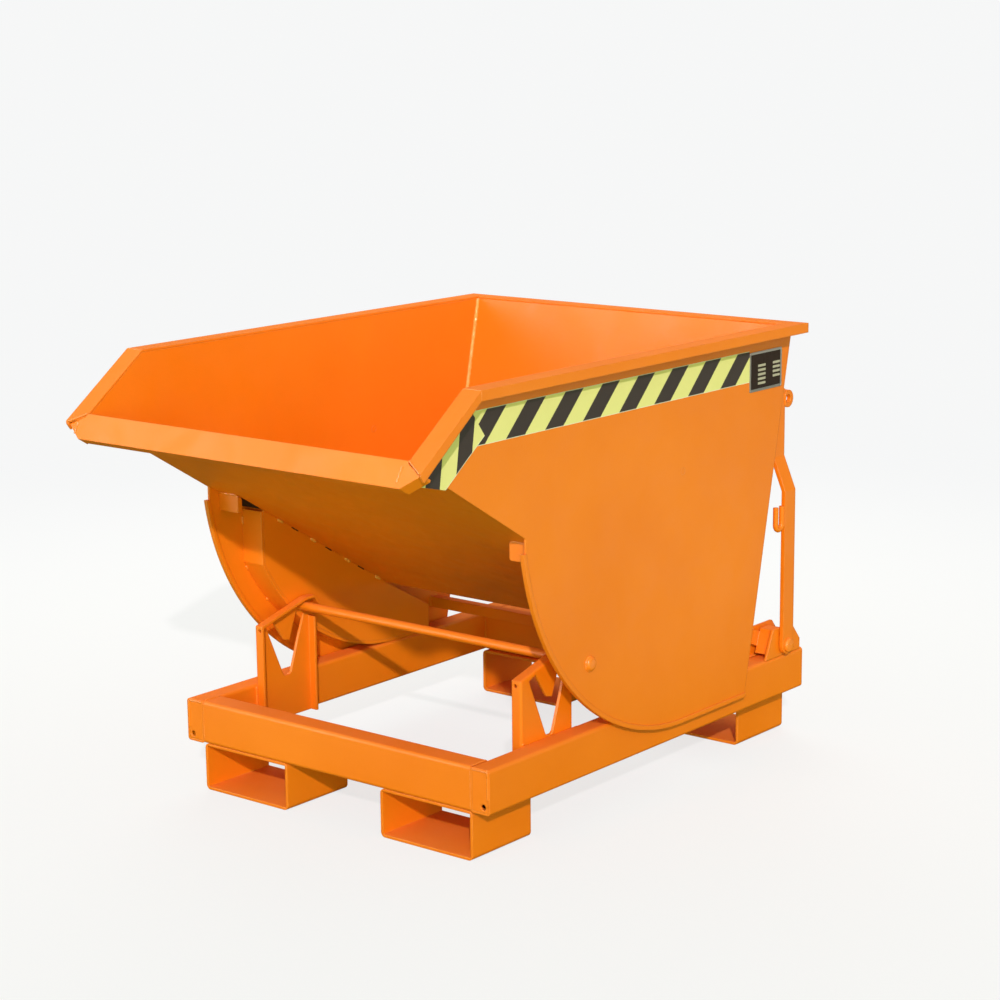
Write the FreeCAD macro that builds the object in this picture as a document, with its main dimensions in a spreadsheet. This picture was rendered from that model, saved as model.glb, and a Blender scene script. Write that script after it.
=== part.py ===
"""Tipping skip for fork tines: a sheet-steel skip that rolls forward on its frame when a lever is pulled.

The frame stands on four fork pockets. The skip's round treads roll along the tops of the rails,
and its guide rod runs down one leg and up the other leg of the V-shaped slots in the two stands.
Lengths are in millimetres. +Z is up, the mouth of the skip points to -Y, and X is symmetric.
"""
import FreeCAD
import Part
import Sketcher
import math
import os

doc = FreeCAD.newDocument("tipping_skip")
sheet = doc.addObject("Spreadsheet::Sheet", "dims")

# Driving dimensions, each with what it measures.
DIMENSIONS = (
    ("frame_width", 680, "over the outer faces of the rails"),
    ("frame_length", 924, "length of the rails"),
    ("rail_width", 40, "rail tube, across"),
    ("rail_height", 76, "rail tube, upright"),
    ("rail_wall", 4, "wall of the rails and beams"),
    ("tube_corner", 6, "outer corner radius of the rails and beams"),
    ("beam_depth", 46, "front beam, front to back"),
    ("rear_beam_depth", 144, "rear beam, front to back"),
    ("rear_beam_inset", 5, "rear beam behind which the rail ends stand out"),
    ("cap_thickness", 4, "plates that close the rail ends"),
    ("drain_diameter", 10, "drain hole in each rail end"),
    ("drain_inset", 9, "drain hole from the edges of its cap"),
    ("pocket_width", 196, "fork pocket, outside"),
    ("pocket_height", 84, "fork pocket, outside"),
    ("pocket_wall", 5, "fork pocket plate"),
    ("pocket_corner", 9, "fork pocket outer corner radius"),
    ("pocket_length", 150, "fork pocket, front to back"),
    ("pocket_spacing", 407, "between the middles of the two pockets of a pair"),
    ("pocket_inset", 3, "front pockets from the front of the rails"),
    ("rear_pocket_inset", 6, "rear pockets from the rear of the rails"),
    ("lip_overhang", 212, "lip of the skip ahead of the rails"),
    ("plate_gap", 9, "side plates from the outer faces of the rails"),
    ("sheet_thickness", 4, "plates of the skip"),
    ("rocker_centre", 512, "middle of the rocker arcs behind the front of the rails"),
    ("tread_radius", 400, "rolling radius"),
    ("roll_gap", 0.3, "between the treads and the rails"),
    ("tread_thickness", 6, "rolled bar of the treads"),
    ("tread_gap", 2, "treads from the stands, sideways"),
    ("tread_arc_angle", 62, "degrees of rolling"),
    ("tread_front_rise", 96, "straight end of a tread above its arc"),
    ("tread_tail", 98, "flat stretch of a tread behind the arc"),
    ("edge_reach", 44, "outer radius of the edge bars beyond the rolling radius"),
    ("edge_bar", 8, "square bar along the rocker edge of a side plate"),
    ("edge_bar_proud", 2, "edge bar beyond the face of the side plate"),
    ("edge_arc_rise", 63, "upper end of the rocker edge below the arc's middle"),
    ("bottom_front", 488, "bend between chute and bottom behind the front of the rails"),
    ("bottom_height", 276, "underside of the skip's bottom above the floor"),
    ("chute_angle", 31, "degrees that the chute rises to the front"),
    ("lip_width", 45, "turned-down lip"),
    ("lip_taper", 32, "slanted ends of the lip"),
    ("lip_end_hem", 20, "return along the slanted ends of the lip"),
    ("rim_tip", 21, "rim beyond the lip's corner"),
    ("lip_hem", 14, "return at the lip's lower edge"),
    ("rim_height", 778, "top of the rim above the floor"),
    ("rim_overhang", 32, "rim beyond the face of the side plate"),
    ("rim_drop", 17, "turned-down edge of the rim"),
    ("rear_rim_overhang", 3, "rear rim beyond the edge of the side plates"),
    ("mouth_bend", 63, "bend of the rim ahead of the rails"),
    ("rear_lean_angle", 12.2, "degrees that the rear wall leans back"),
    ("rear_foot", 198, "rear lower corner of a side plate behind the arc's middle"),
    ("rear_wall_inset", 24, "rear wall inside the rear edges of the side plates"),
    ("inner_plate_tail", 94, "inner rocker plate behind the arc's middle"),
    ("tie_size", 20, "square bar that ties the rockers"),
    ("tie_height", 186, "underside of the tie above the floor"),
    ("tie_back", 154, "front of the tie behind the arc's middle"),
    ("inner_plate_cut", 210, "top of an inner rocker plate's rear end above the floor"),
    ("stop_height", 32, "stop block at the head of a tread"),
    ("stop_reach", 56, "stop block ahead of the tread"),
    ("stop_depth", 28, "stop block, front to back"),
    ("rod_diameter", 16, "guide rod"),
    ("rod_inset", 16, "middle of the guide rod inside the rolling radius"),
    ("rod_fit", 0.1, "radial clearance of the rod in the plates, before welding"),
    ("rod_angle", 43.5, "degrees of the guide rod ahead of plumb"),
    ("boss_diameter", 24, "boss on each end of the guide rod"),
    ("boss_thickness", 6, "boss on each end of the guide rod"),
    ("stand_sheet", 5, "folded plate of the stands"),
    ("stand_ahead", 116, "front of the stand ahead of the guide rod"),
    ("stand_length", 138, "stand, front to back"),
    ("stand_flange", 14, "folded edges of a stand"),
    ("stand_fold", 4.6, "outer radius of a stand's folds"),
    ("stand_shoulder_drop", 31, "bend of the front edge below the stand's top"),
    ("stand_over", 17.2, "top of the stand above the guide rod's middle"),
    ("stand_hole", 7, "hole in the front edge of a stand"),
    ("stand_hole_drop", 9, "hole below the bend of the front edge"),
    ("slot_clearance", 4, "arch of the stand around the guide rod"),
    ("plug_diameter", 12, "plug in the middle of each rocker arc"),
    ("plug_fit", 0.08, "radial clearance of the plugs"),
    ("lever_pivot", 858, "lever's axis behind the front of the rails"),
    ("lever_pivot_rise", 20, "lever's axis above the rails"),
    ("lever_width", 34, "flat bar of the lever"),
    ("lever_thickness", 8, "flat bar of the lever"),
    ("lever_gap", 2, "lever from the face of the rail"),
    ("lever_lower", 290, "from the axis to the joggle"),
    ("lever_joggle", 60, "height of the joggle"),
    ("lever_offset", 25, "sideways step of the joggle"),
    ("lever_upper", 122, "from the joggle to the top"),
    ("shaft_diameter", 16, "shaft of the lever"),
    ("shaft_fit", 0.05, "radial clearance of the shaft"),
    ("shaft_head", 6, "heads on the shaft's ends"),
    ("shaft_head_diameter", 26, "heads on the shaft's ends"),
    ("lug_thickness", 5, "bearing plates of the shaft"),
    ("lug_step", 8, "inner bearing plate inside the rail"),
    ("lug_front", 58, "foot of the bearing plates ahead of the axis"),
    ("lug_rear", 56, "foot of the bearing plates behind the axis"),
    ("lug_top_front", 35, "top of the bearing plates ahead of the axis"),
    ("lug_top_rear", 28, "top of the bearing plates behind the axis"),
    ("lug_crown", 33.5, "top of the bearing plates above the axis"),
    ("claw_thickness", 8, "arm of the latch claw"),
    ("guard_width", 26, "block on the claw's hub, across"),
    ("guard_ahead", 45, "block on the claw's hub ahead of the axis"),
    ("guard_lean", 18, "lean of the block's front face"),
    ("guard_drop", 12, "block on the claw's hub below the axis"),
    ("guard_rise", 31, "block on the claw's hub above the axis"),
    ("claw_side_gap", 2, "between claw and bearing plates"),
    ("claw_depth", 18, "height of the latch claw's arm"),
    ("claw_gap", 1, "latch claw from the catch pin"),
    ("catch_diameter", 16, "catch pin"),
    ("catch_length", 56, "catch pin"),
    ("catch_back", 190, "catch pin behind the arc's middle"),
    ("catch_rise", 73, "catch pin above the rails"),
    ("eye_diameter", 32, "eye for the pull cord"),
    ("eye_bore", 15, "eye for the pull cord"),
    ("eye_below_top", 20, "eye from the lever's top"),
    ("hook_wire", 10, "round bar of the cord hook"),
    ("hook_bend", 10, "bend of the cord hook"),
    ("hook_leg", 32, "legs of the cord hook"),
    ("hook_height", 412, "bend of the cord hook above the floor"),
)

for row, (alias, number, meaning) in enumerate(DIMENSIONS, start=1):
    sheet.set(f"A{row}", meaning)
    sheet.set(f"B{row}", str(number))
    sheet.setAlias(f"B{row}", alias)
doc.recompute()


class Size:
    """A size as a number, with the formula that ties it to the sheet."""

    def __init__(self, number, formula):
        self.number = number
        self.formula = formula

    def __add__(self, other):
        other = as_size(other)
        return Size(self.number + other.number, f"({self.formula} + {other.formula})")

    def __sub__(self, other):
        other = as_size(other)
        return Size(self.number - other.number, f"({self.formula} - {other.formula})")

    def __mul__(self, other):
        other = as_size(other)
        return Size(self.number * other.number, f"{self.formula} * {other.formula}")

    def __truediv__(self, other):
        other = as_size(other)
        return Size(self.number / other.number, f"{self.formula} / {other.formula}")

    def __neg__(self):
        return Size(-self.number, f"(0 - {self.formula})")


def as_size(value):
    """Take a plain share or zero as a size."""
    if isinstance(value, Size):
        return value
    return Size(value, f"({value!r})")


def sine(angle):
    """Sine of an angle in degrees."""
    return Size(math.sin(math.radians(angle.number)), f"sin({angle.formula})")


def cosine(angle):
    """Cosine of an angle in degrees."""
    return Size(math.cos(math.radians(angle.number)), f"cos({angle.formula})")


def root(value):
    """Square root."""
    return Size(math.sqrt(value.number), f"sqrt({value.formula})")


class Dims:
    """The sheet's cells by their names."""


D = Dims()
for alias, number, meaning in DIMENSIONS:
    setattr(D, alias, Size(float(sheet.get(alias)), f"dims.{alias}"))

ZERO = as_size(0)
half_share = 0.5
TINY_SHARE = 1e-9
NEAR_SHARE = 1e-3

# Places that several pieces share. Y is counted from the front of the lip, Z from the floor.
rails_front = D.lip_overhang
rails_rear = rails_front + D.frame_length
middle_y = rails_rear * half_share
rail_inside = D.frame_width * half_share - D.rail_width
rail_outside = D.frame_width * half_share
rail_top = D.pocket_height + D.rail_height
plate_inside = rail_outside + D.plate_gap
plate_outside = plate_inside + D.sheet_thickness
centre_y = rails_front + D.rocker_centre
centre_z = rail_top + D.roll_gap + D.tread_radius
chute_sine = sine(D.chute_angle)
chute_cosine = cosine(D.chute_angle)
bend_y = rails_front + D.bottom_front
rim_under = D.rim_height - D.sheet_thickness
lean_share = sine(D.rear_lean_angle) / cosine(D.rear_lean_angle)
rod_radius = D.tread_radius - D.rod_inset
rod_y = centre_y - rod_radius * sine(D.rod_angle)
rod_z = centre_z - rod_radius * cosine(D.rod_angle)
rod_hole = D.rod_diameter + D.rod_fit * 2
stand_top = rod_z + D.stand_over
stand_shoulder = stand_top - D.stand_shoulder_drop
pivot_y = rails_front + D.lever_pivot
pivot_z = rail_top + D.lever_pivot_rise
edge_radius = D.tread_radius + D.edge_reach
plate_radius = edge_radius - D.edge_bar
plate_foot_z = centre_z - plate_radius
SIDES = (("left", -1), ("right", 1))


def chute_under(y):
    """Height of the chute's underside at a place along the skip."""
    return D.bottom_height + (bend_y - y) * chute_sine / chute_cosine


def rear_edge(z):
    """Rear edge of the side plates at a height."""
    return centre_y + D.rear_foot + (z - plate_foot_z) * lean_share


def on_arc(radius, angle):
    """Point of a rocker arc, its angle counted forward from plumb."""
    return (centre_y - radius * sine(angle), centre_z - radius * cosine(angle))


# Builders for sketches and features.
def bind(thing, path, size):
    """Tie one property to the sheet."""
    thing.setExpression(path, as_size(size).formula)


def place(thing, x, y, z):
    """Place an object, with Y counted from the front of the lip."""
    bind(thing, ".Placement.Base.x", x)
    bind(thing, ".Placement.Base.y", as_size(y) - middle_y)
    bind(thing, ".Placement.Base.z", z)


def new_body(label, x, y, z):
    """Start a sub-part."""
    made = doc.addObject("PartDesign::Body", label)
    made.Label = label
    place(made, x, y, z)
    return made


def new_sketch(owner, role, offset=ZERO):
    """Start a sketch on one of the sub-part's own planes, raised by an offset."""
    drawn = owner.newObject("Sketcher::SketchObject", f"{owner.Name}_sketch")
    plane = [one for one in owner.Origin.OriginFeatures if one.Role == role][0]
    drawn.AttachmentSupport = [(plane, "")]
    drawn.MapMode = "FlatFace"
    bind(drawn, ".AttachmentOffset.Base.z", offset)
    return drawn


def fix(drawn, kind, element, end, size):
    """Dimension one point of a sketch from its origin."""
    if abs(size.number) < TINY_SHARE:
        axis = -2 if kind == "DistanceX" else -1
        drawn.addConstraint(Sketcher.Constraint("PointOnObject", element, end, axis))
        return
    count = drawn.addConstraint(Sketcher.Constraint(kind, -1, 1, element, end, size.number))
    drawn.setExpression(f"Constraints[{count}]", size.formula)


def add_outline(drawn, corners):
    """Close an outline. A corner is (u, v), or (u, v, arc) with the arc that leads to the next corner.

    An arc is (centre u, centre v, radius, turn), with turn 1 counter-clockwise and -1 clockwise.
    """
    corners = [tuple(as_size(part) if place_in < 2 else part for place_in, part in enumerate(one))
               for one in corners]
    total = len(corners)
    elements = []
    for index, corner in enumerate(corners):
        following = corners[(index + 1) % total]
        first = FreeCAD.Vector(corner[0].number, corner[1].number)
        last = FreeCAD.Vector(following[0].number, following[1].number)
        if len(corner) == 2:
            element = drawn.addGeometry(Part.LineSegment(first, last), False)
            elements.append((element, 1, 2))
            continue
        centre_u, centre_v, radius, turn = corner[2]
        middle = FreeCAD.Vector(as_size(centre_u).number, as_size(centre_v).number)
        begin, end = (first, last) if turn > 0 else (last, first)
        start_angle = math.atan2(begin.y - middle.y, begin.x - middle.x)
        end_angle = math.atan2(end.y - middle.y, end.x - middle.x)
        if end_angle <= start_angle:
            end_angle += 2 * math.pi
        ring = Part.Circle(middle, FreeCAD.Vector(0, 0, 1), as_size(radius).number)
        element = drawn.addGeometry(Part.ArcOfCircle(ring, start_angle, end_angle), False)
        elements.append((element, 1, 2) if turn > 0 else (element, 2, 1))
        fix(drawn, "DistanceX", element, 3, as_size(centre_u))
        fix(drawn, "DistanceY", element, 3, as_size(centre_v))
        count = drawn.addConstraint(Sketcher.Constraint("Radius", element, as_size(radius).number))
        drawn.setExpression(f"Constraints[{count}]", as_size(radius).formula)
    for index, (element, start, end) in enumerate(elements):
        other, other_start, other_end = elements[(index + 1) % total]
        drawn.addConstraint(Sketcher.Constraint("Coincident", element, end, other, other_start))
        corner = corners[index]
        before = corners[index - 1]
        arcs = [one[2] for one in (corner, before) if len(one) == 3]
        if len(arcs) == 2:
            continue
        across = up = True
        if arcs:
            away_u = abs(corner[0].number - as_size(arcs[0][0]).number)
            away_v = abs(corner[1].number - as_size(arcs[0][1]).number)
            across = away_v >= away_u
            up = not across
        if across:
            fix(drawn, "DistanceX", element, start, corner[0])
        if up:
            fix(drawn, "DistanceY", element, start, corner[1])


def add_circle(drawn, u, v, diameter):
    """Add a circle to a sketch."""
    radius = diameter * half_share
    middle = FreeCAD.Vector(u.number, v.number)
    ring = Part.Circle(middle, FreeCAD.Vector(0, 0, 1), radius.number)
    element = drawn.addGeometry(ring, False)
    fix(drawn, "DistanceX", element, 3, u)
    fix(drawn, "DistanceY", element, 3, v)
    count = drawn.addConstraint(Sketcher.Constraint("Radius", element, radius.number))
    drawn.setExpression(f"Constraints[{count}]", radius.formula)


def pad(owner, drawn, length, backwards=False):
    """Raise a sketch into the sub-part."""
    made = owner.newObject("PartDesign::Pad", f"{owner.Name}_pad")
    made.Profile = drawn
    made.Reversed = backwards
    bind(made, "Length", length)
    drawn.Visibility = False
    return made


def cut_through(owner, drawn):
    """Cut a sketch right through the sub-part, both ways."""
    made = owner.newObject("PartDesign::Pocket", f"{owner.Name}_cut")
    made.Profile = drawn
    made.Type = "ThroughAll"
    made.Midplane = True
    drawn.Visibility = False
    return made


def rectangle(u, v, width, height):
    """Corners of a rectangle."""
    return [(u, v), (u + width, v), (u + width, v + height), (u, v + height)]


def rounded_rectangle(width, height, corner):
    """Corners of a rectangle from the origin with round corners."""
    far_u = width - corner
    far_v = height - corner
    return [
        (corner, ZERO), (far_u, ZERO, (far_u, corner, corner, 1)),
        (width, corner), (width, far_v, (far_u, far_v, corner, 1)),
        (far_u, height), (corner, height, (corner, far_v, corner, 1)),
        (ZERO, far_v), (ZERO, corner, (corner, corner, corner, 1)),
    ]


def tube(label, role, width, height, wall, corner, length, x, y, z):
    """Rectangular tube with round outer corners."""
    made = new_body(label, x, y, z)
    drawn = new_sketch(made, role)
    add_outline(drawn, rounded_rectangle(width, height, corner))
    add_outline(drawn, rectangle(wall, wall, width - wall * 2, height - wall * 2))
    pad(made, drawn, length, role == "XZ_Plane")
    return made


def side_plate(label, side, inside, thickness, outline, holes=()):
    """Plate upright along Y on one side, its inner face at a distance from the middle."""
    x = inside if side > 0 else -(inside + thickness)
    made = new_body(label, x, ZERO, ZERO)
    drawn = new_sketch(made, "YZ_Plane")
    add_outline(drawn, outline)
    for hole in holes:
        add_circle(drawn, *hole)
    pad(made, drawn, thickness)
    return made


def across_plate(label, half_width, outline):
    """Profile along Y and Z that runs right across the skip."""
    made = new_body(label, -half_width, ZERO, ZERO)
    drawn = new_sketch(made, "YZ_Plane")
    add_outline(drawn, outline)
    pad(made, drawn, half_width * 2)
    return made


def block(label, x, y, z, length, width, height):
    """Plain block."""
    made = doc.addObject("Part::Box", label)
    made.Label = label
    bind(made, "Length", length)
    bind(made, "Width", width)
    bind(made, "Height", height)
    place(made, x, y, z)
    return made


def bar_across(label, x, y, z, diameter, length):
    """Round bar along X from a starting point."""
    made = doc.addObject("Part::Cylinder", label)
    made.Label = label
    bind(made, "Radius", diameter * half_share)
    bind(made, "Height", length)
    made.Placement.Rotation = FreeCAD.Rotation(FreeCAD.Vector(0, 1, 0), 90)
    place(made, x, y, z)
    return made


def cut(label, base, tool):
    """One shape less another."""
    made = doc.addObject("Part::Cut", label)
    made.Label = label
    made.Base = base
    made.Tool = tool
    return made


def group(label, members):
    """Several separate solids under one name."""
    made = doc.addObject("Part::Compound", label)
    made.Label = label
    made.Links = members
    return made


nodes = []


# Frame: rails, beams, end caps and fork pockets.
def make_frame():
    """Rails along Y, beams between them and the pockets that carry them."""
    for name, side in SIDES:
        x = rail_inside if side > 0 else -rail_outside
        nodes.append(tube(f"{name}_side_rail", "XZ_Plane", D.rail_width, D.rail_height, D.rail_wall,
                          D.tube_corner, D.frame_length, x, rails_front, D.pocket_height))
    span = rail_inside * 2
    nodes.append(tube("front_beam", "YZ_Plane", D.beam_depth, D.rail_height, D.rail_wall,
                      D.tube_corner, span, -rail_inside, rails_front, D.pocket_height))
    rear_y = rails_rear - D.rear_beam_inset - D.rear_beam_depth
    nodes.append(tube("rear_beam", "YZ_Plane", D.rear_beam_depth, D.rail_height, D.rail_wall,
                      D.tube_corner, span, -rail_inside, rear_y, D.pocket_height))
    places = (("front", rails_front + D.pocket_inset),
              ("rear", rails_rear - D.rear_pocket_inset - D.pocket_length))
    for end, y in places:
        for name, side in SIDES:
            x = D.pocket_spacing * (half_share * side) - D.pocket_width * half_share
            nodes.append(tube(f"{end}_{name}_fork_pocket", "XZ_Plane", D.pocket_width, D.pocket_height,
                              D.pocket_wall, D.pocket_corner, D.pocket_length, x, y, ZERO))


def make_end_caps():
    """Plates in the four rail ends, each with a drain hole low on the outer side."""
    width = D.rail_width - D.rail_wall * 2
    height = D.rail_height - D.rail_wall * 2
    z = D.pocket_height + D.rail_wall
    caps = []
    for name, side in SIDES:
        x = rail_inside + D.rail_wall if side > 0 else -(rail_outside - D.rail_wall)
        drain_x = x + (width - D.drain_inset if side > 0 else D.drain_inset)
        for end, y in (("front", rails_front), ("rear", rails_rear - D.cap_thickness)):
            plate = block(f"{end}_{name}_cap_plate", x, y, z, width, D.cap_thickness, height)
            drain = doc.addObject("Part::Cylinder", f"{end}_{name}_drain")
            bind(drain, "Radius", D.drain_diameter * half_share)
            bind(drain, "Height", D.cap_thickness * 2)
            drain.Placement.Rotation = FreeCAD.Rotation(FreeCAD.Vector(1, 0, 0), -90)
            place(drain, drain_x, y - D.cap_thickness * half_share, z + D.drain_inset)
            caps.append(cut(f"{end}_{name}_cap", plate, drain))
    nodes.append(group("rail_end_caps", caps))


# Stands: folded plates with the V-shaped guide slots.
# Places in the web are shares of its length from its front edge, and of the height above the rails.
TONGUE_TIP_SHARES = ((0.495, 0.489), (0.593, 0.468))
LEFT_SLOT_TOP_SHARES = ((0.285, 0.799), (0.155, 0.748))
SLOT_FOOT_SHARES = ((0.462, 0.040), (0.490, 0.010), (0.580, 0.010), (0.612, 0.040))
RIGHT_SLOT_HEAD_SHARES = (0.872, 0.763)
POST_TOP_SHARE = 0.72
TONGUE_ROOT_SHARES = (0.7125, 0.777)
SHOULDER_PEAK_SHARE = 0.833
HOOK_BACK_SHARE = 0.988
HOOK_TIP_SHARES = ((1.0966, 0.89), (1.063, 0.855))
ARCH_ANGLE_SHARE = 0.25


def round_folds(made, x, folds):
    """Round the outer edges of a folded plate, each given by its two ends along Y and Z."""
    def meets(point, corner):
        gaps = (point.x - x.number, point.y - corner[0].number, point.z - corner[1].number)
        return max(abs(gap) for gap in gaps) < NEAR_SHARE

    def is_fold(edge):
        ends = [vertex.Point for vertex in edge.Vertexes]
        return len(ends) > 1 and any(
            all(any(meets(point, corner) for corner in fold) for point in ends) for fold in folds)

    sharp = made.Tip
    edges = [f"Edge{count}" for count, edge in enumerate(sharp.Shape.Edges, start=1) if is_fold(edge)]
    rounded = made.newObject("PartDesign::Fillet", f"{made.Label}_folds")
    rounded.Base = (sharp, edges)
    bind(rounded, "Radius", D.stand_fold)


def make_stand(name, side):
    """One stand on the inner face of its rail."""
    front = rod_y - D.stand_ahead
    rise = stand_top - rail_top

    def web_point(shares):
        return (front + D.stand_length * shares[0], rail_top + rise * shares[1])

    rear = front + D.stand_length
    arch = D.rod_diameter * half_share + D.slot_clearance
    arch_end_v = rod_z + arch * ARCH_ANGLE_SHARE
    arch_end_u = rod_y + root(arch * arch - arch * arch * (ARCH_ANGLE_SHARE * ARCH_ANGLE_SHARE))
    peak_y = front + D.stand_length * SHOULDER_PEAK_SHARE
    back_y = front + D.stand_length * HOOK_BACK_SHARE
    outline = [
        (front, D.pocket_height),
        (rear, D.pocket_height),
        (rear, rail_top + rise * POST_TOP_SHARE),
        web_point(RIGHT_SLOT_HEAD_SHARES),
        *[web_point(shares) for shares in reversed(SLOT_FOOT_SHARES)],
        web_point(LEFT_SLOT_TOP_SHARES[1]),
        web_point(LEFT_SLOT_TOP_SHARES[0]),
        web_point(TONGUE_TIP_SHARES[0]),
        web_point(TONGUE_TIP_SHARES[1]),
        web_point(TONGUE_ROOT_SHARES),
        (rod_y - arch, rod_z, (rod_y, rod_z, arch, -1)),
        (arch_end_u, arch_end_v),
        web_point(HOOK_TIP_SHARES[1]),
        web_point(HOOK_TIP_SHARES[0]),
        (back_y, stand_top),
        (peak_y, stand_top),
        (front, stand_shoulder),
    ]
    inside = rail_inside - D.stand_sheet
    made = side_plate(f"{name}_tip_stand", side, inside, D.stand_sheet, outline)
    # Folded edges point to the middle of the frame.
    outward = ZERO if side > 0 else D.stand_sheet
    inward_pad = side > 0
    edge_front = new_sketch(made, "YZ_Plane", outward)
    add_outline(edge_front, rectangle(front, D.pocket_height, D.stand_sheet,
                                      stand_shoulder - D.pocket_height))
    pad(made, edge_front, D.stand_flange, inward_pad)
    edge_rear = new_sketch(made, "YZ_Plane", outward)
    post_top = rail_top + rise * POST_TOP_SHARE
    add_outline(edge_rear, rectangle(rear - D.stand_sheet, D.pocket_height, D.stand_sheet,
                                     post_top - D.pocket_height))
    pad(made, edge_rear, D.stand_flange, inward_pad)
    edge_top = new_sketch(made, "YZ_Plane", outward)
    tip = web_point(HOOK_TIP_SHARES[0])
    low_tip = web_point(HOOK_TIP_SHARES[1])
    add_outline(edge_top, [
        (front, stand_shoulder), (front, stand_shoulder - D.stand_sheet),
        (peak_y, stand_top - D.stand_sheet), (back_y, stand_top - D.stand_sheet),
        low_tip, tip, (back_y, stand_top), (peak_y, stand_top),
    ])
    pad(made, edge_top, D.stand_flange, inward_pad)
    doc.recompute()
    hole = new_sketch(made, "XZ_Plane")
    middle_x = D.stand_flange * half_share
    hole_x = -middle_x if side > 0 else middle_x + D.stand_sheet
    add_circle(hole, hole_x, stand_shoulder - D.stand_hole_drop, D.stand_hole)
    made_cut = made.newObject("PartDesign::Pocket", f"{name}_stand_hole")
    made_cut.Profile = hole
    bind(made_cut, "Length", front + D.stand_sheet * 2)
    doc.recompute()
    shoulder = (front, stand_shoulder)
    peak = (peak_y, stand_top)
    round_folds(made, D.stand_sheet if side > 0 else ZERO, [
        ((front, D.pocket_height), shoulder), (shoulder, peak), (peak, (back_y, stand_top)),
        ((rear, D.pocket_height), (rear, post_top)),
    ])
    nodes.append(made)


# Skip: side plates, rockers, chute, walls and rim.
def make_side_plates():
    """Side plates with their quarter-round rocker edges, and the square bars along those edges."""
    head_z = centre_z - D.edge_arc_rise
    plate_head_y = centre_y - root(plate_radius * plate_radius - D.edge_arc_rise * D.edge_arc_rise)
    bar_head_y = centre_y - root(edge_radius * edge_radius - D.edge_arc_rise * D.edge_arc_rise)
    foot_y = centre_y + D.rear_foot
    tip_y = lip_corner()[0]
    arc = (centre_y, centre_z, plate_radius, 1)
    bar_arc = (centre_y, centre_z, edge_radius, 1)
    bar_back_arc = (centre_y, centre_z, plate_radius, -1)
    bar_z = centre_z - edge_radius
    for name, side in SIDES:
        outline = [
            (plate_head_y, head_z, arc), (centre_y, plate_foot_z), (foot_y, plate_foot_z),
            (rear_edge(rim_under), rim_under), (rails_front - D.mouth_bend, rim_under),
            (tip_y, chute_under(tip_y)), (plate_head_y, chute_under(plate_head_y)),
        ]
        holes = [(centre_y, centre_z, D.plug_diameter + D.plug_fit * 2), (rod_y, rod_z, rod_hole)]
        nodes.append(side_plate(f"{name}_side_plate", side, plate_inside, D.sheet_thickness, outline, holes))
        bar_inside = plate_outside + D.edge_bar_proud - D.edge_bar
        bar = [
            (bar_head_y, head_z, bar_arc), (centre_y, bar_z), (foot_y, bar_z),
            (foot_y, plate_foot_z), (centre_y, plate_foot_z, bar_back_arc), (plate_head_y, head_z),
        ]
        nodes.append(side_plate(f"{name}_rocker_edge_bar", side, bar_inside, D.edge_bar, bar))


def lip_corner():
    """Underside corner where the chute ends at the lip."""
    top_y = D.lip_width * chute_sine + D.sheet_thickness * chute_cosine
    y = top_y - D.sheet_thickness * chute_sine
    return (y, chute_under(y))


def make_rockers():
    """Treads that roll on the rails, the inner plates beside them and the stop blocks at their heads."""
    inside = rail_inside + D.tread_gap
    width = plate_inside - inside
    inner = D.tread_radius - D.tread_thickness
    head = on_arc(D.tread_radius, D.tread_arc_angle)
    front_in = head[0] + D.tread_thickness
    reach = centre_y - front_in
    inner_z = centre_z - root(inner * inner - reach * reach)
    top_z = head[1] + D.tread_front_rise
    under_z = centre_z - D.tread_radius
    over_z = centre_z - inner
    tail_y = centre_y + D.tread_tail
    arc = (centre_y, centre_z, D.tread_radius, 1)
    back_arc = (centre_y, centre_z, inner, -1)
    forward_arc = (centre_y, centre_z, inner, 1)
    plate_tail = centre_y + D.inner_plate_tail
    stop_front = head[0] - D.stop_reach
    stop_z = chute_under(stop_front) - D.stop_height
    stop_back = stop_front + D.stop_depth
    for name, side in SIDES:
        tread = [
            (head[0], top_z), (head[0], head[1], arc), (centre_y, under_z), (tail_y, under_z),
            (tail_y, over_z), (centre_y, over_z, back_arc), (front_in, inner_z), (front_in, top_z),
        ]
        nodes.append(side_plate(f"{name}_rocker_tread", side, inside, width, tread))
        plate = [
            (front_in, chute_under(front_in)), (front_in, inner_z, forward_arc), (centre_y, over_z),
            (plate_tail, over_z), (plate_tail, D.inner_plate_cut), (bend_y, D.bottom_height),
        ]
        nodes.append(side_plate(f"{name}_inner_rocker_plate", side, inside, D.sheet_thickness, plate,
                                [(rod_y, rod_z, rod_hole)]))
        stop = [(stop_front, stop_z), (stop_back, stop_z), (stop_back, chute_under(stop_back)),
                (stop_front, chute_under(stop_front))]
        nodes.append(side_plate(f"{name}_stop_block", side, inside, width, stop))
    nodes.append(block("rear_rocker_tie", -plate_inside, centre_y + D.tie_back, D.tie_height,
                       plate_inside * 2, D.tie_size, D.tie_size))


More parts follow.
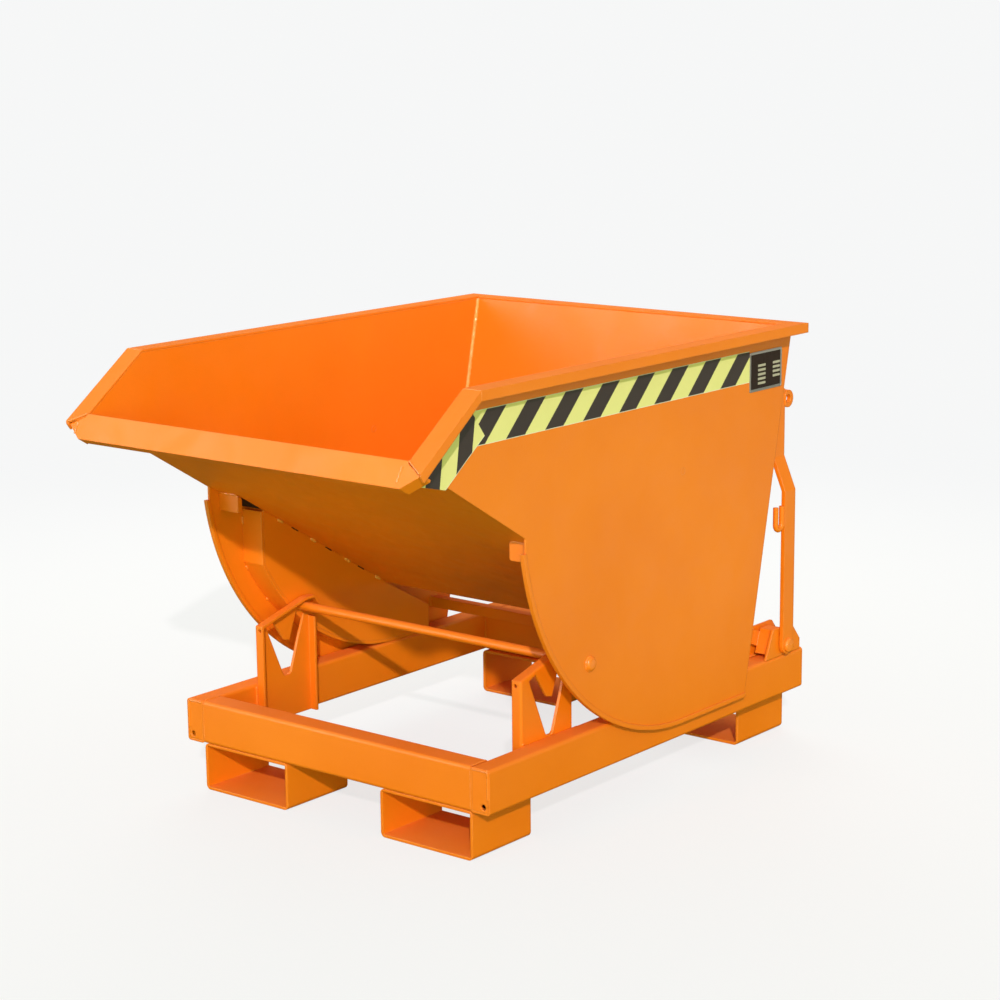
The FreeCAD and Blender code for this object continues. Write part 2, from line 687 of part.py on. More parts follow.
def make_container():
    """Chute with its bottom, and the rear wall."""
    sheet_t = D.sheet_thickness
    upright = sheet_t / chute_cosine
    inner_bend = bend_y + (upright - sheet_t) * chute_cosine / chute_sine
    low_y, low_z = lip_corner()
    wall_back = D.rear_wall_inset + sheet_t / cosine(D.rear_lean_angle)
    bottom_top = D.bottom_height + sheet_t
    nodes.append(across_plate("chute_plate", plate_inside, [
        (low_y, low_z), (bend_y, D.bottom_height),
        (rear_edge(D.bottom_height) - wall_back, D.bottom_height),
        (rear_edge(bottom_top) - wall_back, bottom_top), (inner_bend, bottom_top),
        (low_y + sheet_t * chute_sine, low_z + sheet_t * chute_cosine),
    ]))
    nodes.append(across_plate("rear_wall", plate_inside, [
        (rear_edge(D.bottom_height) - wall_back, D.bottom_height),
        (rear_edge(D.bottom_height) - D.rear_wall_inset, D.bottom_height),
        (rear_edge(rim_under) - D.rear_wall_inset, rim_under), (rear_edge(rim_under) - wall_back, rim_under),
    ]))


def mouth_run():
    """Level and upright shares of the slanted rim, counted up from the lip's corner."""
    tip_y, tip_z = lip_corner()
    run_y = rails_front - D.mouth_bend - tip_y
    run_z = rim_under - tip_z
    run = root(run_y * run_y + run_z * run_z)
    return run_y / run, run_z / run


def make_lip():
    """Lip across the chute's end, square to the chute, with slanted ends and a hem along its lower edges."""
    half = plate_outside + D.rim_overhang - D.sheet_thickness
    wing = half - plate_inside
    low_y, low_z = lip_corner()
    shoulder = D.lip_width - D.sheet_thickness
    level, upright = mouth_run()
    steep = level * chute_sine + upright * chute_cosine
    tip = shoulder - D.rim_tip * steep * wing / (wing + D.sheet_thickness)
    lip = new_body("front_lip", -half, low_y - shoulder * chute_sine, low_z - shoulder * chute_cosine)
    lip.Placement.Rotation = FreeCAD.Rotation(FreeCAD.Vector(-1, 0, 0), D.chute_angle.number)
    bind(lip, ".Placement.Rotation.Angle", D.chute_angle)
    far = half * 2
    low_far = far - D.lip_taper
    face = new_sketch(lip, "XZ_Plane")
    add_outline(face, [
        (D.lip_taper, ZERO), (low_far, ZERO), (far, tip), (far - wing, shoulder), (far - wing, D.lip_width),
        (wing, D.lip_width), (wing, shoulder), (ZERO, tip),
    ])
    pad(lip, face, D.sheet_thickness)
    hem = new_sketch(lip, "XZ_Plane")
    add_outline(hem, rectangle(D.lip_taper, ZERO, low_far - D.lip_taper, D.sheet_thickness))
    pad(lip, hem, D.lip_hem, True)
    for low, high in ((D.lip_taper, ZERO), (low_far, far)):
        end_hem = new_sketch(lip, "XZ_Plane")
        add_outline(end_hem, [
            (low, ZERO), (high, tip), (high, tip + D.sheet_thickness), (low, D.sheet_thickness),
        ])
        pad(lip, end_hem, D.lip_end_hem, True)
    nodes.append(lip)


def make_rim():
    """Rim turned outward and down, along both sides and the slanted mouth, and across the rear."""
    sheet_t = D.sheet_thickness
    bend = rails_front - D.mouth_bend
    tip_y, tip_z = lip_corner()
    level, upright = mouth_run()
    mitre = (as_size(1) - level) / upright
    end_y = tip_y - level * D.rim_tip
    end_z = tip_z - upright * D.rim_tip
    rear = rear_edge(rim_under) + D.rear_rim_overhang

    def band(top, bottom):
        """Corners of a strip between two depths below the rim's underside line."""
        return [
            (rear, rim_under - top), (bend + mitre * top, rim_under - top),
            (end_y + upright * top, end_z - level * top), (end_y + upright * bottom, end_z - level * bottom),
            (bend + mitre * bottom, rim_under - bottom), (rear, rim_under - bottom),
        ]

    width = D.rim_overhang + sheet_t
    for name, side in SIDES:
        made = side_plate(f"{name}_rim", side, plate_inside, width, band(-sheet_t, ZERO))
        # The strip ends on a slant that starts at the lip's corner.
        slant = new_sketch(made, "XY_Plane")
        inner, outer = (ZERO, width) if side > 0 else (width, ZERO)
        add_outline(slant, [
            (inner, tip_y), (outer, end_y), (outer, -D.lip_width), (inner, -D.lip_width),
        ])
        doc.recompute()
        cut_through(made, slant)
        skirt = new_sketch(made, "YZ_Plane", width - sheet_t if side > 0 else ZERO)
        add_outline(skirt, band(ZERO, D.rim_drop - sheet_t))
        pad(made, skirt, sheet_t)
        nodes.append(made)
    wall_back = D.rear_wall_inset + sheet_t / cosine(D.rear_lean_angle)
    front = rear_edge(rim_under) - wall_back
    nodes.append(across_plate("rear_rim", plate_inside, [
        (front, rim_under), (rear - sheet_t, rim_under), (rear - sheet_t, D.rim_height - D.rim_drop),
        (rear, D.rim_height - D.rim_drop), (rear, D.rim_height), (front, D.rim_height),
    ]))


def make_guide_rod():
    """Rod through the rockers that runs in the stands' slots, with a boss on each end."""
    reach = plate_outside * 2
    nodes.append(bar_across("guide_rod", -plate_outside, rod_y, rod_z, D.rod_diameter, reach))
    left = bar_across("left_boss", -(plate_outside + D.boss_thickness), rod_y, rod_z,
                      D.boss_diameter, D.boss_thickness)
    right = bar_across("right_boss", plate_outside, rod_y, rod_z, D.boss_diameter, D.boss_thickness)
    nodes.append(group("guide_rod_bosses", [left, right]))


def make_centre_plugs():
    """Flush plugs in the middles of the rocker arcs."""
    left = bar_across("left_plug", -plate_outside, centre_y, centre_z, D.plug_diameter, D.sheet_thickness)
    right = bar_across("right_plug", plate_inside, centre_y, centre_z, D.plug_diameter, D.sheet_thickness)
    nodes.append(group("rocker_centre_plugs", [left, right]))


def make_catch():
    """Pin on the inner face of the right side plate that the claw stands behind."""
    y = centre_y + D.catch_back
    z = rail_top + D.catch_rise
    nodes.append(bar_across("catch_pin", plate_inside - D.catch_length, y, z, D.catch_diameter, D.catch_length))


# Release lever on the right rail.
# The claw's hub is a share of the axis height, and the eye stands off by a share of its diameter.
HUB_SHARE = 0.8
EYE_SET_SHARE = 0.36


def make_lugs():
    """Two bearing plates on the rail for the lever's shaft."""
    top = pivot_z + D.lug_crown
    inner_x = rail_inside - D.lug_step
    outer_x = rail_outside - D.lug_thickness
    outline = [
        (pivot_y - D.lug_front, rail_top), (pivot_y + D.lug_rear, rail_top),
        (pivot_y + D.lug_rear, pivot_z), (pivot_y + D.lug_top_rear, top), (pivot_y - D.lug_top_front, top),
    ]
    bore = [(pivot_y, pivot_z, D.shaft_diameter + D.shaft_fit * 2)]
    for name, x in (("inner", inner_x), ("outer", outer_x)):
        nodes.append(side_plate(f"lever_{name}_lug", 1, x, D.lug_thickness, outline, bore))
    return inner_x, outer_x


def make_lever(inner_x, outer_x):
    """Joggled flat bar, its shaft, the claw between the bearing plates, the eye and the cord hook."""
    half = D.lever_width * half_share
    face = rail_outside + D.lever_gap
    bar = new_body("release_lever", face - D.lever_offset, pivot_y - half, pivot_z)
    joggle_z = D.lever_lower
    upper_z = joggle_z + D.lever_joggle
    top_z = upper_z + D.lever_upper
    front_view = new_sketch(bar, "XZ_Plane")
    add_outline(front_view, [
        (D.lever_offset, ZERO), (D.lever_offset + D.lever_thickness, ZERO),
        (D.lever_offset + D.lever_thickness, joggle_z), (D.lever_thickness, upper_z),
        (D.lever_thickness, top_z), (ZERO, top_z), (ZERO, upper_z), (D.lever_offset, joggle_z),
    ])
    pad(bar, front_view, D.lever_width, True)
    end_view = new_sketch(bar, "YZ_Plane", D.lever_offset)
    add_outline(end_view, [
        (ZERO, ZERO, (half, ZERO, half, 1)), (D.lever_width, ZERO),
    ])
    pad(bar, end_view, D.lever_thickness)
    doc.recompute()
    hole = new_sketch(bar, "YZ_Plane")
    add_circle(hole, half, ZERO, D.shaft_diameter)
    cut_through(bar, hole)
    nodes.append(bar)

    shaft_x = inner_x - D.claw_side_gap * half_share
    shaft_end = face + D.lever_thickness
    nodes.append(bar_across("lever_shaft", shaft_x, pivot_y, pivot_z, D.shaft_diameter, shaft_end - shaft_x))
    heads = [
        bar_across("inner_shaft_head", shaft_x - D.shaft_head, pivot_y, pivot_z,
                   D.shaft_head_diameter, D.shaft_head),
        bar_across("outer_shaft_head", shaft_end, pivot_y, pivot_z, D.shaft_head_diameter, D.shaft_head),
    ]
    nodes.append(group("lever_shaft_heads", heads))

    claw_x = inner_x + D.lug_thickness + D.claw_side_gap
    catch_y = centre_y + D.catch_back
    catch_z = rail_top + D.catch_rise
    grip = D.catch_diameter * half_share + D.claw_gap
    hub = D.lever_pivot_rise * HUB_SHARE
    claw = [
        (catch_y + grip, catch_z - D.claw_depth * half_share),
        (pivot_y, pivot_z - hub, (pivot_y, pivot_z, hub, 1)),
        (pivot_y, pivot_z + hub),
        (catch_y + grip + D.claw_depth * half_share, catch_z + D.claw_depth * half_share),
        (catch_y + grip, catch_z + D.claw_depth * half_share),
    ]
    made_claw = side_plate("latch_claw", 1, claw_x, D.claw_thickness, claw)
    guard = new_sketch(made_claw, "YZ_Plane", D.claw_thickness)
    guard_front = pivot_y - D.guard_ahead
    guard_top = pivot_z + D.guard_rise
    add_outline(guard, [
        (guard_front, pivot_z - D.guard_drop),
        (pivot_y, pivot_z - hub, (pivot_y, pivot_z, hub, 1)),
        (pivot_y, pivot_z + hub),
        (pivot_y, guard_top), (guard_front + D.guard_lean, guard_top),
    ])
    pad(made_claw, guard, D.guard_width)
    doc.recompute()
    claw_bore = new_sketch(made_claw, "YZ_Plane")
    add_circle(claw_bore, pivot_y, pivot_z, D.shaft_diameter)
    cut_through(made_claw, claw_bore)
    nodes.append(made_claw)

    eye_x = face - D.lever_offset
    eye_y = pivot_y + half + D.eye_diameter * EYE_SET_SHARE
    eye_z = pivot_z + top_z - D.eye_below_top
    eye = new_body("cord_eye", eye_x, ZERO, ZERO)
    ring = new_sketch(eye, "YZ_Plane")
    edge_y = pivot_y + half
    sink = root(as_size(half_share * half_share) - as_size(EYE_SET_SHARE * EYE_SET_SHARE)) * D.eye_diameter
    add_outline(ring, [
        (edge_y, eye_z - sink, (eye_y, eye_z, D.eye_diameter * half_share, 1)), (edge_y, eye_z + sink),
    ])
    add_circle(ring, eye_y, eye_z, D.eye_bore)
    pad(eye, ring, D.lever_thickness)
    nodes.append(eye)
    make_cord_hook(face + D.lever_thickness * half_share, pivot_y - half)


def make_cord_hook(x, edge_y):
    """Round-bar hook on the front edge of the lever, open at the top."""
    wire = D.hook_wire * half_share
    weld_y = edge_y - wire
    middle = weld_y - D.hook_bend
    bend = doc.addObject("Part::Torus", "hook_bend_ring")
    bind(bend, "Radius1", D.hook_bend)
    bind(bend, "Radius2", wire)
    bend.Angle3 = 180
    bend.Placement.Rotation = FreeCAD.Rotation(FreeCAD.Vector(0, 1, 0), FreeCAD.Vector(0, 0, -1),
                                               FreeCAD.Vector(-1, 0, 0), "XYZ")
    place(bend, x, middle, D.hook_height)
    legs = []
    for name, y in (("free", middle - D.hook_bend), ("weld", weld_y)):
        leg = doc.addObject("Part::Cylinder", f"hook_{name}_leg")
        bind(leg, "Radius", wire)
        bind(leg, "Height", D.hook_leg)
        place(leg, x, y, D.hook_height)
        legs.append(leg)
    made = doc.addObject("Part::MultiFuse", "cord_hook")
    made.Label = "cord_hook"
    made.Shapes = [bend] + legs
    nodes.append(made)


make_frame()
make_end_caps()
for side_name, side_sign in SIDES:
    make_stand(side_name, side_sign)
make_side_plates()
make_rockers()
make_container()
make_lip()
make_rim()
make_guide_rod()
make_centre_plugs()
make_catch()
lug_places = make_lugs()
make_lever(*lug_places)
doc.recompute()

# Nothing is written unless every object is sound.
for thing in doc.Objects:
    if "Invalid" in thing.State or "Error" in thing.State:
        raise RuntimeError(f"{thing.Label} failed: {thing.State}")
for node in nodes:
    if node.Shape.isNull() or not node.Shape.isValid():
        raise RuntimeError(f"{node.Label} has no sound shape")

os.makedirs("parts", exist_ok=True)
for node in nodes:
    node.Shape.exportStep(os.path.join("parts", f"{node.Label}.step"))
    box = node.Shape.BoundBox
    print(f"{node.Label:24s} {len(node.Shape.Solids)} solid  x {box.XMin:.1f} {box.XMax:.1f}  "
          f"y {box.YMin:.1f} {box.YMax:.1f}  z {box.ZMin:.1f} {box.ZMax:.1f}")
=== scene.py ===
# %% [markdown]
# # A tipping skip in orange enamel
# A tipping skip is a sheet-steel trough on a low frame with four pockets to lift it by. When its
# lever is pulled, the trough rolls forward on two round rockers and empties itself.
# The solids are loaded as a fixed frame, in metres: +Z is up, the mouth points to -Y, the lever is
# on +X. This lesson gives them their finishes and adds what a welder and a painter leave behind.

# %% Load the frame
import math

import bpy
from mathutils import Matrix, Vector


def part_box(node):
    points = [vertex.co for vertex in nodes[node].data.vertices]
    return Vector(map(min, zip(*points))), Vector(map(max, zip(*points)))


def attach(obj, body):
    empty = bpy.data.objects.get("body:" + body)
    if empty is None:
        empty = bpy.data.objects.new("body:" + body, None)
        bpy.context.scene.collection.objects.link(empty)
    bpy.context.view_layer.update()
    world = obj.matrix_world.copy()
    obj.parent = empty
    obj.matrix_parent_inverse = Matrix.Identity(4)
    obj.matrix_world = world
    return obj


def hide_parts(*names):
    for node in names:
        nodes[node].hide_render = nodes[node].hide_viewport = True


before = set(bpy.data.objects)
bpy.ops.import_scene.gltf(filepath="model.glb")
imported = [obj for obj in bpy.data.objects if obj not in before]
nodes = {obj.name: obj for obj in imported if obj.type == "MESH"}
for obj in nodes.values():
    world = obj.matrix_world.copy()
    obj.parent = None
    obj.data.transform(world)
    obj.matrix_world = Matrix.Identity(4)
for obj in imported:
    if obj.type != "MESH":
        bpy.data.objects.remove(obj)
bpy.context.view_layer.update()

# %% [markdown]
# ## Small helpers for node trees
# A material is a tree of nodes. Three lines for every node would hide the idea of the material, so
# one helper adds a node and fills its inputs. An input takes a plain value, or a pair of a node and
# one of its outputs, which becomes a link. The other helpers make the nodes that come up most, and
# they give back such a pair, so that one can feed the next.

# %% Node helpers
def fill(tree, node, values):
    """Fill inputs by name or number, with a value or with a (node, output) pair to link."""
    for name, value in values.items():
        if isinstance(value, tuple) and isinstance(value[0], bpy.types.Node):
            tree.links.new(value[0].outputs[value[1]], node.inputs[name])
        else:
            node.inputs[name].default_value = value
    return node


def add_node(tree, kind, values=None, **settings):
    """Add a node, set its properties, then fill its inputs."""
    made = tree.nodes.new(f"ShaderNode{kind}")
    for name, value in settings.items():
        setattr(made, name, value)
    return fill(tree, made, values or {})


def remap(tree, source, span, onto=(0.0, 1.0), curve="LINEAR"):
    """Map a value from one span onto another."""
    values = {0: source, 1: span[0], 2: span[1], 3: onto[0], 4: onto[1]}
    return add_node(tree, "MapRange", values, interpolation_type=curve), 0


def calculate(tree, operation, *values, clamp=False):
    """A Math node with its inputs in order."""
    values = dict(enumerate(values))
    return add_node(tree, "Math", values, operation=operation, use_clamp=clamp), 0


def mix_colours(tree, mask, first, second):
    """A colour between two. Several sockets of this node share a name, so they go by number."""
    return add_node(tree, "Mix", {0: mask, 6: first, 7: second}, data_type="RGBA"), 2


def noise(tree, place, scale, detail, others=None):
    """Noise at a place, such as the object's own space."""
    values = {"Vector": place, "Scale": scale, "Detail": detail, **(others or {})}
    return add_node(tree, "TexNoise", values), 0


def own_space(tree):
    """The object's own coordinates."""
    return add_node(tree, "TexCoord"), "Object"


def new_group(name, entries, results):
    """Start a node group. An entry is (name, kind, start value), a result is (name, kind)."""
    group = bpy.data.node_groups.new(name, "ShaderNodeTree")
    for label, kind, start in entries:
        socket = group.interface.new_socket(label, in_out="INPUT", socket_type=kind)
        socket.default_value = start
    for label, kind in results:
        group.interface.new_socket(label, in_out="OUTPUT", socket_type=kind)
    return group, group.nodes.new("NodeGroupInput"), group.nodes.new("NodeGroupOutput")


def new_material(name):
    """Start a material and return it with its tree and its shader."""
    made = bpy.data.materials.new(name)
    made.use_nodes = True
    return made, made.node_tree, made.node_tree.nodes["Principled BSDF"]


print("node helpers ready")

# %% [markdown]
# ## Rubbed edges and painted edge highlights
# Paint is thinnest on an edge, where it rubs off first. The Bevel node gives the normal that a
# slightly rounded edge would have. Where it leaves the true normal there is an edge, so the
# difference of the two is a mask. Noise breaks the mask up, because nothing wears evenly. The
# paler orange that this mask lets in is partly that wear and partly a painted highlight: the
# light that a rounded edge catches.

# %% Edge group
FLOAT, COLOUR, VECTOR = "NodeSocketFloat", "NodeSocketColor", "NodeSocketVector"

worn_and_highlighted_edges, entry, result = new_group(
    "worn_and_highlighted_edges",
    [("Radius", FLOAT, 0.0025), ("Amount", FLOAT, 0.5), ("Patch Scale", FLOAT, 18.0)],
    [("Mask", FLOAT), ("Normal", VECTOR)],
)
soft = add_node(worn_and_highlighted_edges, "Bevel", {"Radius": (entry, "Radius")}, samples=4)
true = add_node(worn_and_highlighted_edges, "NewGeometry")
likeness = add_node(worn_and_highlighted_edges, "VectorMath", {0: (soft, "Normal"), 1: (true, "Normal")},
                    operation="DOT_PRODUCT")
edge = remap(worn_and_highlighted_edges, (likeness, "Value"), (0.99, 0.80))
patches = noise(worn_and_highlighted_edges, own_space(worn_and_highlighted_edges), (entry, "Patch Scale"), 6.0, {"Roughness": 0.65})
broken = remap(worn_and_highlighted_edges, patches, (0.42, 0.62), (0.15, 1.0))
rubbed = calculate(worn_and_highlighted_edges, "MULTIPLY", edge, broken)
strength = calculate(worn_and_highlighted_edges, "MULTIPLY", rubbed, (entry, "Amount"), clamp=True)
fill(worn_and_highlighted_edges, result, {"Mask": strength, "Normal": (soft, "Normal")})
print("group", worn_and_highlighted_edges.name, len(worn_and_highlighted_edges.nodes), "nodes")

# %% [markdown]
# ## Sprayed film
# A sprayed coat is never one colour. It is a little thicker here and thinner there, and its
# surface has the fine waves that painters call orange peel. One loose noise gives the tone, a fine
# one gives the waves, and a middle one lets the gloss come and go.

# %% Film group
sprayed_film, entry, result = new_group(
    "sprayed_film",
    [("Thin Colour", COLOUR, (0.9, 0.25, 0.02, 1)), ("Full Colour", COLOUR, (0.8, 0.18, 0.004, 1)),
     ("Gloss Low", FLOAT, 0.32), ("Gloss High", FLOAT, 0.46)],
    [("Colour", COLOUR), ("Roughness", FLOAT), ("Peel", FLOAT)],
)
place = own_space(sprayed_film)
tone = remap(sprayed_film, noise(sprayed_film, place, 2.6, 4.0, {"Roughness": 0.55}), (0.35, 0.65))
coat = mix_colours(sprayed_film, tone, (entry, "Thin Colour"), (entry, "Full Colour"))
smears = noise(sprayed_film, place, 14.0, 5.0, {"Distortion": 0.6})
gloss = remap(sprayed_film, smears, (0.3, 0.7), ((entry, "Gloss Low"), (entry, "Gloss High")))
peel = noise(sprayed_film, place, 260.0, 2.0)
fill(sprayed_film, result, {"Colour": coat, "Roughness": gloss, "Peel": peel})
print("group", sprayed_film.name, len(sprayed_film.nodes), "nodes")

# %% [markdown]
# ## Dust that settles
# Dust lies on what faces up. The Z part of the normal says how level a face is, and a loose noise
# makes the dust lie in patches. It is kept faint: this skip is nearly new. The group also hands out
# how level a face is, because even a little dust takes the shine off it.

# %% Dust group
settled_dust, entry, result = new_group(
    "settled_dust",
    [("Amount", FLOAT, 0.2), ("Patch Scale", FLOAT, 7.0)],
    [("Mask", FLOAT), ("Level", FLOAT)],
)
true = add_node(settled_dust, "NewGeometry")
facing = add_node(settled_dust, "SeparateXYZ", {0: (true, "Normal")})
level = remap(settled_dust, (facing, "Z"), (0.35, 0.95))
drift = noise(settled_dust, own_space(settled_dust), (entry, "Patch Scale"), 8.0,
              {"Roughness": 0.7})
loose = remap(settled_dust, drift, (0.4, 0.75))
both = calculate(settled_dust, "MULTIPLY", level, loose)
faint = calculate(settled_dust, "MULTIPLY", both, (entry, "Amount"), clamp=True)
fill(settled_dust, result, {"Mask": faint, "Level": level})
print("group", settled_dust.name, len(settled_dust.nodes), "nodes")

# %% [markdown]
# ## Orange enamel
# Nearly every piece wears the same semi-gloss orange. The film group gives its tone, the edge group
# lets a paler orange show along edges, partly as thin paint and partly as a painted highlight,
# and the dust group dulls the level faces. The peel goes through a Bump node, with the softened
# edge normal under it, so that sharp solids catch a thin line of light. Welds get a paler and
# glossier mix: paint runs thin over a bead, and its paler ridges are a painted highlight. The
# stitch mix is paler still, a painted highlight for the glints on small beads.

# %% Enamel
ENAMEL_SHEEN, LEVEL_DULLNESS, PEEL_STRENGTH = 0.5, 0.35, 0.35
DUST_COLOUR = (0.62, 0.45, 0.30, 1)


def enamel_material(name, thin, full, rub_and_highlight_tint, rub_and_highlight, dust, peel_depth, gloss):
    """A sprayed enamel with rubbed edges and settled dust."""
    made, tree, shader = new_material(name)
    film = add_node(tree, "Group", {"Thin Colour": thin, "Full Colour": full,
                                    "Gloss Low": gloss[0], "Gloss High": gloss[1]},
                    node_tree=sprayed_film)
    wear = add_node(tree, "Group", {"Amount": rub_and_highlight}, node_tree=worn_and_highlighted_edges)
    settled = add_node(tree, "Group", {"Amount": dust}, node_tree=settled_dust)
    paler = mix_colours(tree, (wear, "Mask"), (film, "Colour"), rub_and_highlight_tint)
    dusty = mix_colours(tree, (settled, "Mask"), paler, DUST_COLOUR)
    dull = calculate(tree, "MULTIPLY_ADD", (settled, "Level"), LEVEL_DULLNESS, (film, "Roughness"),
                     clamp=True)
    waves = add_node(tree, "Bump", {"Strength": PEEL_STRENGTH, "Distance": peel_depth,
                                    "Height": (film, "Peel"), "Normal": (wear, "Normal")})
    fill(tree, shader, {"Base Color": dusty, "Roughness": dull, "Normal": (waves, "Normal"),
                        "Specular IOR Level": ENAMEL_SHEEN})
    return made


# The third colour is the edge tint: worn, thin paint and also a painted highlight along edges.
orange_enamel = enamel_material(
    "orange_enamel", (0.87, 0.205, 0.006, 1), (0.82, 0.180, 0.003, 1), (0.92, 0.33, 0.09, 1),
    rub_and_highlight=0.45, dust=0.06, peel_depth=0.0006, gloss=(0.34, 0.48))
# Weld mix: its paler edge tint is a painted highlight on the bead's ridges, besides thin paint.
weld_enamel = enamel_material(
    "weld_enamel", (0.90, 0.25, 0.03, 1), (0.83, 0.19, 0.008, 1), (0.95, 0.50, 0.26, 1),
    rub_and_highlight=0.6, dust=0.03, peel_depth=0.0004, gloss=(0.20, 0.32))
# Painted highlight: the palest mix stands for the glints on the ripples of small beads.
stitch_highlight_enamel = enamel_material(
    "stitch_highlight_enamel", (0.98, 0.42, 0.12, 1), (0.90, 0.30, 0.05, 1), (1.0, 0.6, 0.35, 1),
    rub_and_highlight=0.6, dust=0.0, peel_depth=0.0004, gloss=(0.18, 0.30))
print("materials", orange_enamel.name, weld_enamel.name, stitch_highlight_enamel.name)

# %% [markdown]
# ## Bare turned steel
# Only the lever's shaft is left bare, because paint would jam it. Turning leaves fine rings round
# the shaft, so a noise that is squeezed along its length gives bands across it.

# %% Bare steel
bare_steel, tree, shader = new_material("bare_turned_steel")
stretch = add_node(tree, "Mapping", {"Vector": own_space(tree), "Scale": (900.0, 20.0, 20.0)})
rings = noise(tree, (stretch, "Vector"), 1.0, 4.0)
tint = mix_colours(tree, rings, (0.36, 0.34, 0.32, 1), (0.56, 0.55, 0.53, 1))
fill(tree, shader, {"Base Color": tint, "Metallic": 1.0,
                    "Roughness": remap(tree, rings, (0.3, 0.7), (0.28, 0.48))})
print("material", bare_steel.name)

# %% [markdown]
# The loaded solids keep their shape. Each one only gets its finish.

# %% Finish for every solid
BARE = ("lever_shaft",)
for name, piece in nodes.items():
    piece.data.materials.clear()
    piece.data.materials.append(bare_steel if name in BARE else orange_enamel)
print(len(nodes), "solids have their finish")

# %% [markdown]
# ## Striped tape on the right side plate
# A strip of reflecting tape runs under the rim and a second strip follows the slanted mouth, over
# the end of the first. Two helpers come first: every new piece starts with nothing selected, and
# every finished piece gets a name, a finish and the body that it rides on.

# %% Piece helpers
def deselect():
    """Nothing is selected and no object is in edit mode."""
    if bpy.context.object and bpy.context.object.mode != "OBJECT":
        bpy.ops.object.mode_set(mode="OBJECT")
    bpy.ops.object.select_all(action="DESELECT")


def finish_piece(piece, name, body, material, angle=35):
    """Name a piece, give it its finish and let it ride on its body."""
    piece.name = name
    piece.data.name = name
    piece.data.materials.clear()
    piece.data.materials.append(material)
    bpy.ops.object.shade_smooth_by_angle(angle=math.radians(angle))
    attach(piece, body)
    print("piece", name, len(piece.data.polygons), "faces")
    return piece


plate_low, plate_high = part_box("right_side_plate")
plate_face = plate_high.x
print("plate face at", round(plate_face, 4))

# %% [markdown]
# The stripes follow the strip and not the skip, so each strip has a UV map that counts metres along
# and across it. Along minus across gives slanted lines, and the fraction of their pitch gives the
# stripes. The cut edges are pale, and fine cells stand for the glass beads in the film.

# %% Tape material
STRIPE_PITCH, DARK_SHARE, TAPE_WIDTH = 0.0981, 0.48, 0.055
PALE_EDGE = (TAPE_WIDTH / 2 - 0.0014, TAPE_WIDTH / 2 - 0.0008)

striped_tape, tree, shader = new_material("striped_tape")
strip_map = add_node(tree, "UVMap", uv_map="strip")
way = add_node(tree, "SeparateXYZ", {0: (strip_map, "UV")})
slant = calculate(tree, "SUBTRACT", (way, "X"), (way, "Y"))
phase = calculate(tree, "FRACT", calculate(tree, "DIVIDE", slant, STRIPE_PITCH))
dark = calculate(tree, "LESS_THAN", phase, DARK_SHARE)
place = own_space(tree)
grime = noise(tree, place, 22.0, 7.0, {"Roughness": 0.65})
lemon = mix_colours(tree, grime, (0.81, 0.73, 0.31, 1), (0.73, 0.67, 0.27, 1))
soot = mix_colours(tree, grime, (0.026, 0.014, 0.012, 1), (0.050, 0.036, 0.034, 1))
stripes = mix_colours(tree, dark, lemon, soot)
from_middle = calculate(tree, "SUBTRACT", (way, "Y"), TAPE_WIDTH / 2)
cut_edge = remap(tree, calculate(tree, "ABSOLUTE", from_middle), PALE_EDGE, (0.0, 0.75))
edged = mix_colours(tree, cut_edge, stripes, (0.80, 0.79, 0.68, 1))
beads = add_node(tree, "TexVoronoi", {"Vector": place, "Scale": 900.0})
pebbled = add_node(tree, "Bump", {"Strength": 0.12, "Distance": 0.0003,
                                  "Height": (beads, "Distance")})
fill(tree, shader, {"Base Color": edged, "Normal": (pebbled, "Normal"),
                    "Roughness": remap(tree, grime, (0.3, 0.7), (0.30, 0.48))})
print("material", striped_tape.name)

# %% [markdown]
# A tape is a flat film, so each strip starts as a plane. Its corners are moved to the outline, edit
# mode subdivides it, and a Solidify modifier gives it a quarter of a millimetre of thickness.

# %% Long strip
SEAT_Y = 0.356
FILM_THICK = 0.00025


def tape_strip(name, corners, origin, tilt, lift, shift):
    """Film on the plate's face. Corners are (y, z), and stripes start at an origin and a tilt."""
    deselect()
    bpy.ops.mesh.primitive_plane_add(size=1)
    strip = bpy.context.object
    mesh = strip.data
    for index, corner in zip(list(mesh.polygons[0].vertices), corners):
        mesh.vertices[index].co = (plate_face + lift, *corner)
    bpy.ops.object.mode_set(mode="EDIT")
    bpy.ops.mesh.select_all(action="SELECT")
    bpy.ops.mesh.subdivide(number_cuts=6)
    bpy.ops.object.mode_set(mode="OBJECT")
    mesh.uv_layers.new(name="strip")
    for other in [one for one in mesh.uv_layers if one.name != "strip"]:
        mesh.uv_layers.remove(other)
    layer = mesh.uv_layers["strip"]
    for loop in mesh.loops:
        spot = mesh.vertices[loop.vertex_index].co
        step_y, step_z = spot.y - origin[0], spot.z - origin[1]
        along = step_y * math.cos(tilt) + step_z * math.sin(tilt)
        across = step_z * math.cos(tilt) - step_y * math.sin(tilt)
        layer.data[loop.index].uv = (along + shift, across)
    thick = strip.modifiers.new("film", "SOLIDIFY")
    thick.thickness = FILM_THICK
    thick.offset = 1
    bpy.ops.object.modifier_apply(modifier="film")
    return finish_piece(strip, name, "skip", striped_tape)


TAPE_FOOT, TAPE_HEAD = 0.6862, 0.7411
TAPE_FRONT, TAPE_REAR = -0.05226 - SEAT_Y, 0.7127 - SEAT_Y
tape_strip("rim_tape", [(TAPE_FRONT, TAPE_FOOT), (TAPE_REAR, TAPE_FOOT), (TAPE_REAR, TAPE_HEAD),
                        (TAPE_FRONT, TAPE_HEAD)],
           origin=(TAPE_FRONT, TAPE_FOOT), tilt=0.0, lift=0.0, shift=0.0135)
print("long strip", round(TAPE_REAR - TAPE_FRONT, 3), "m")

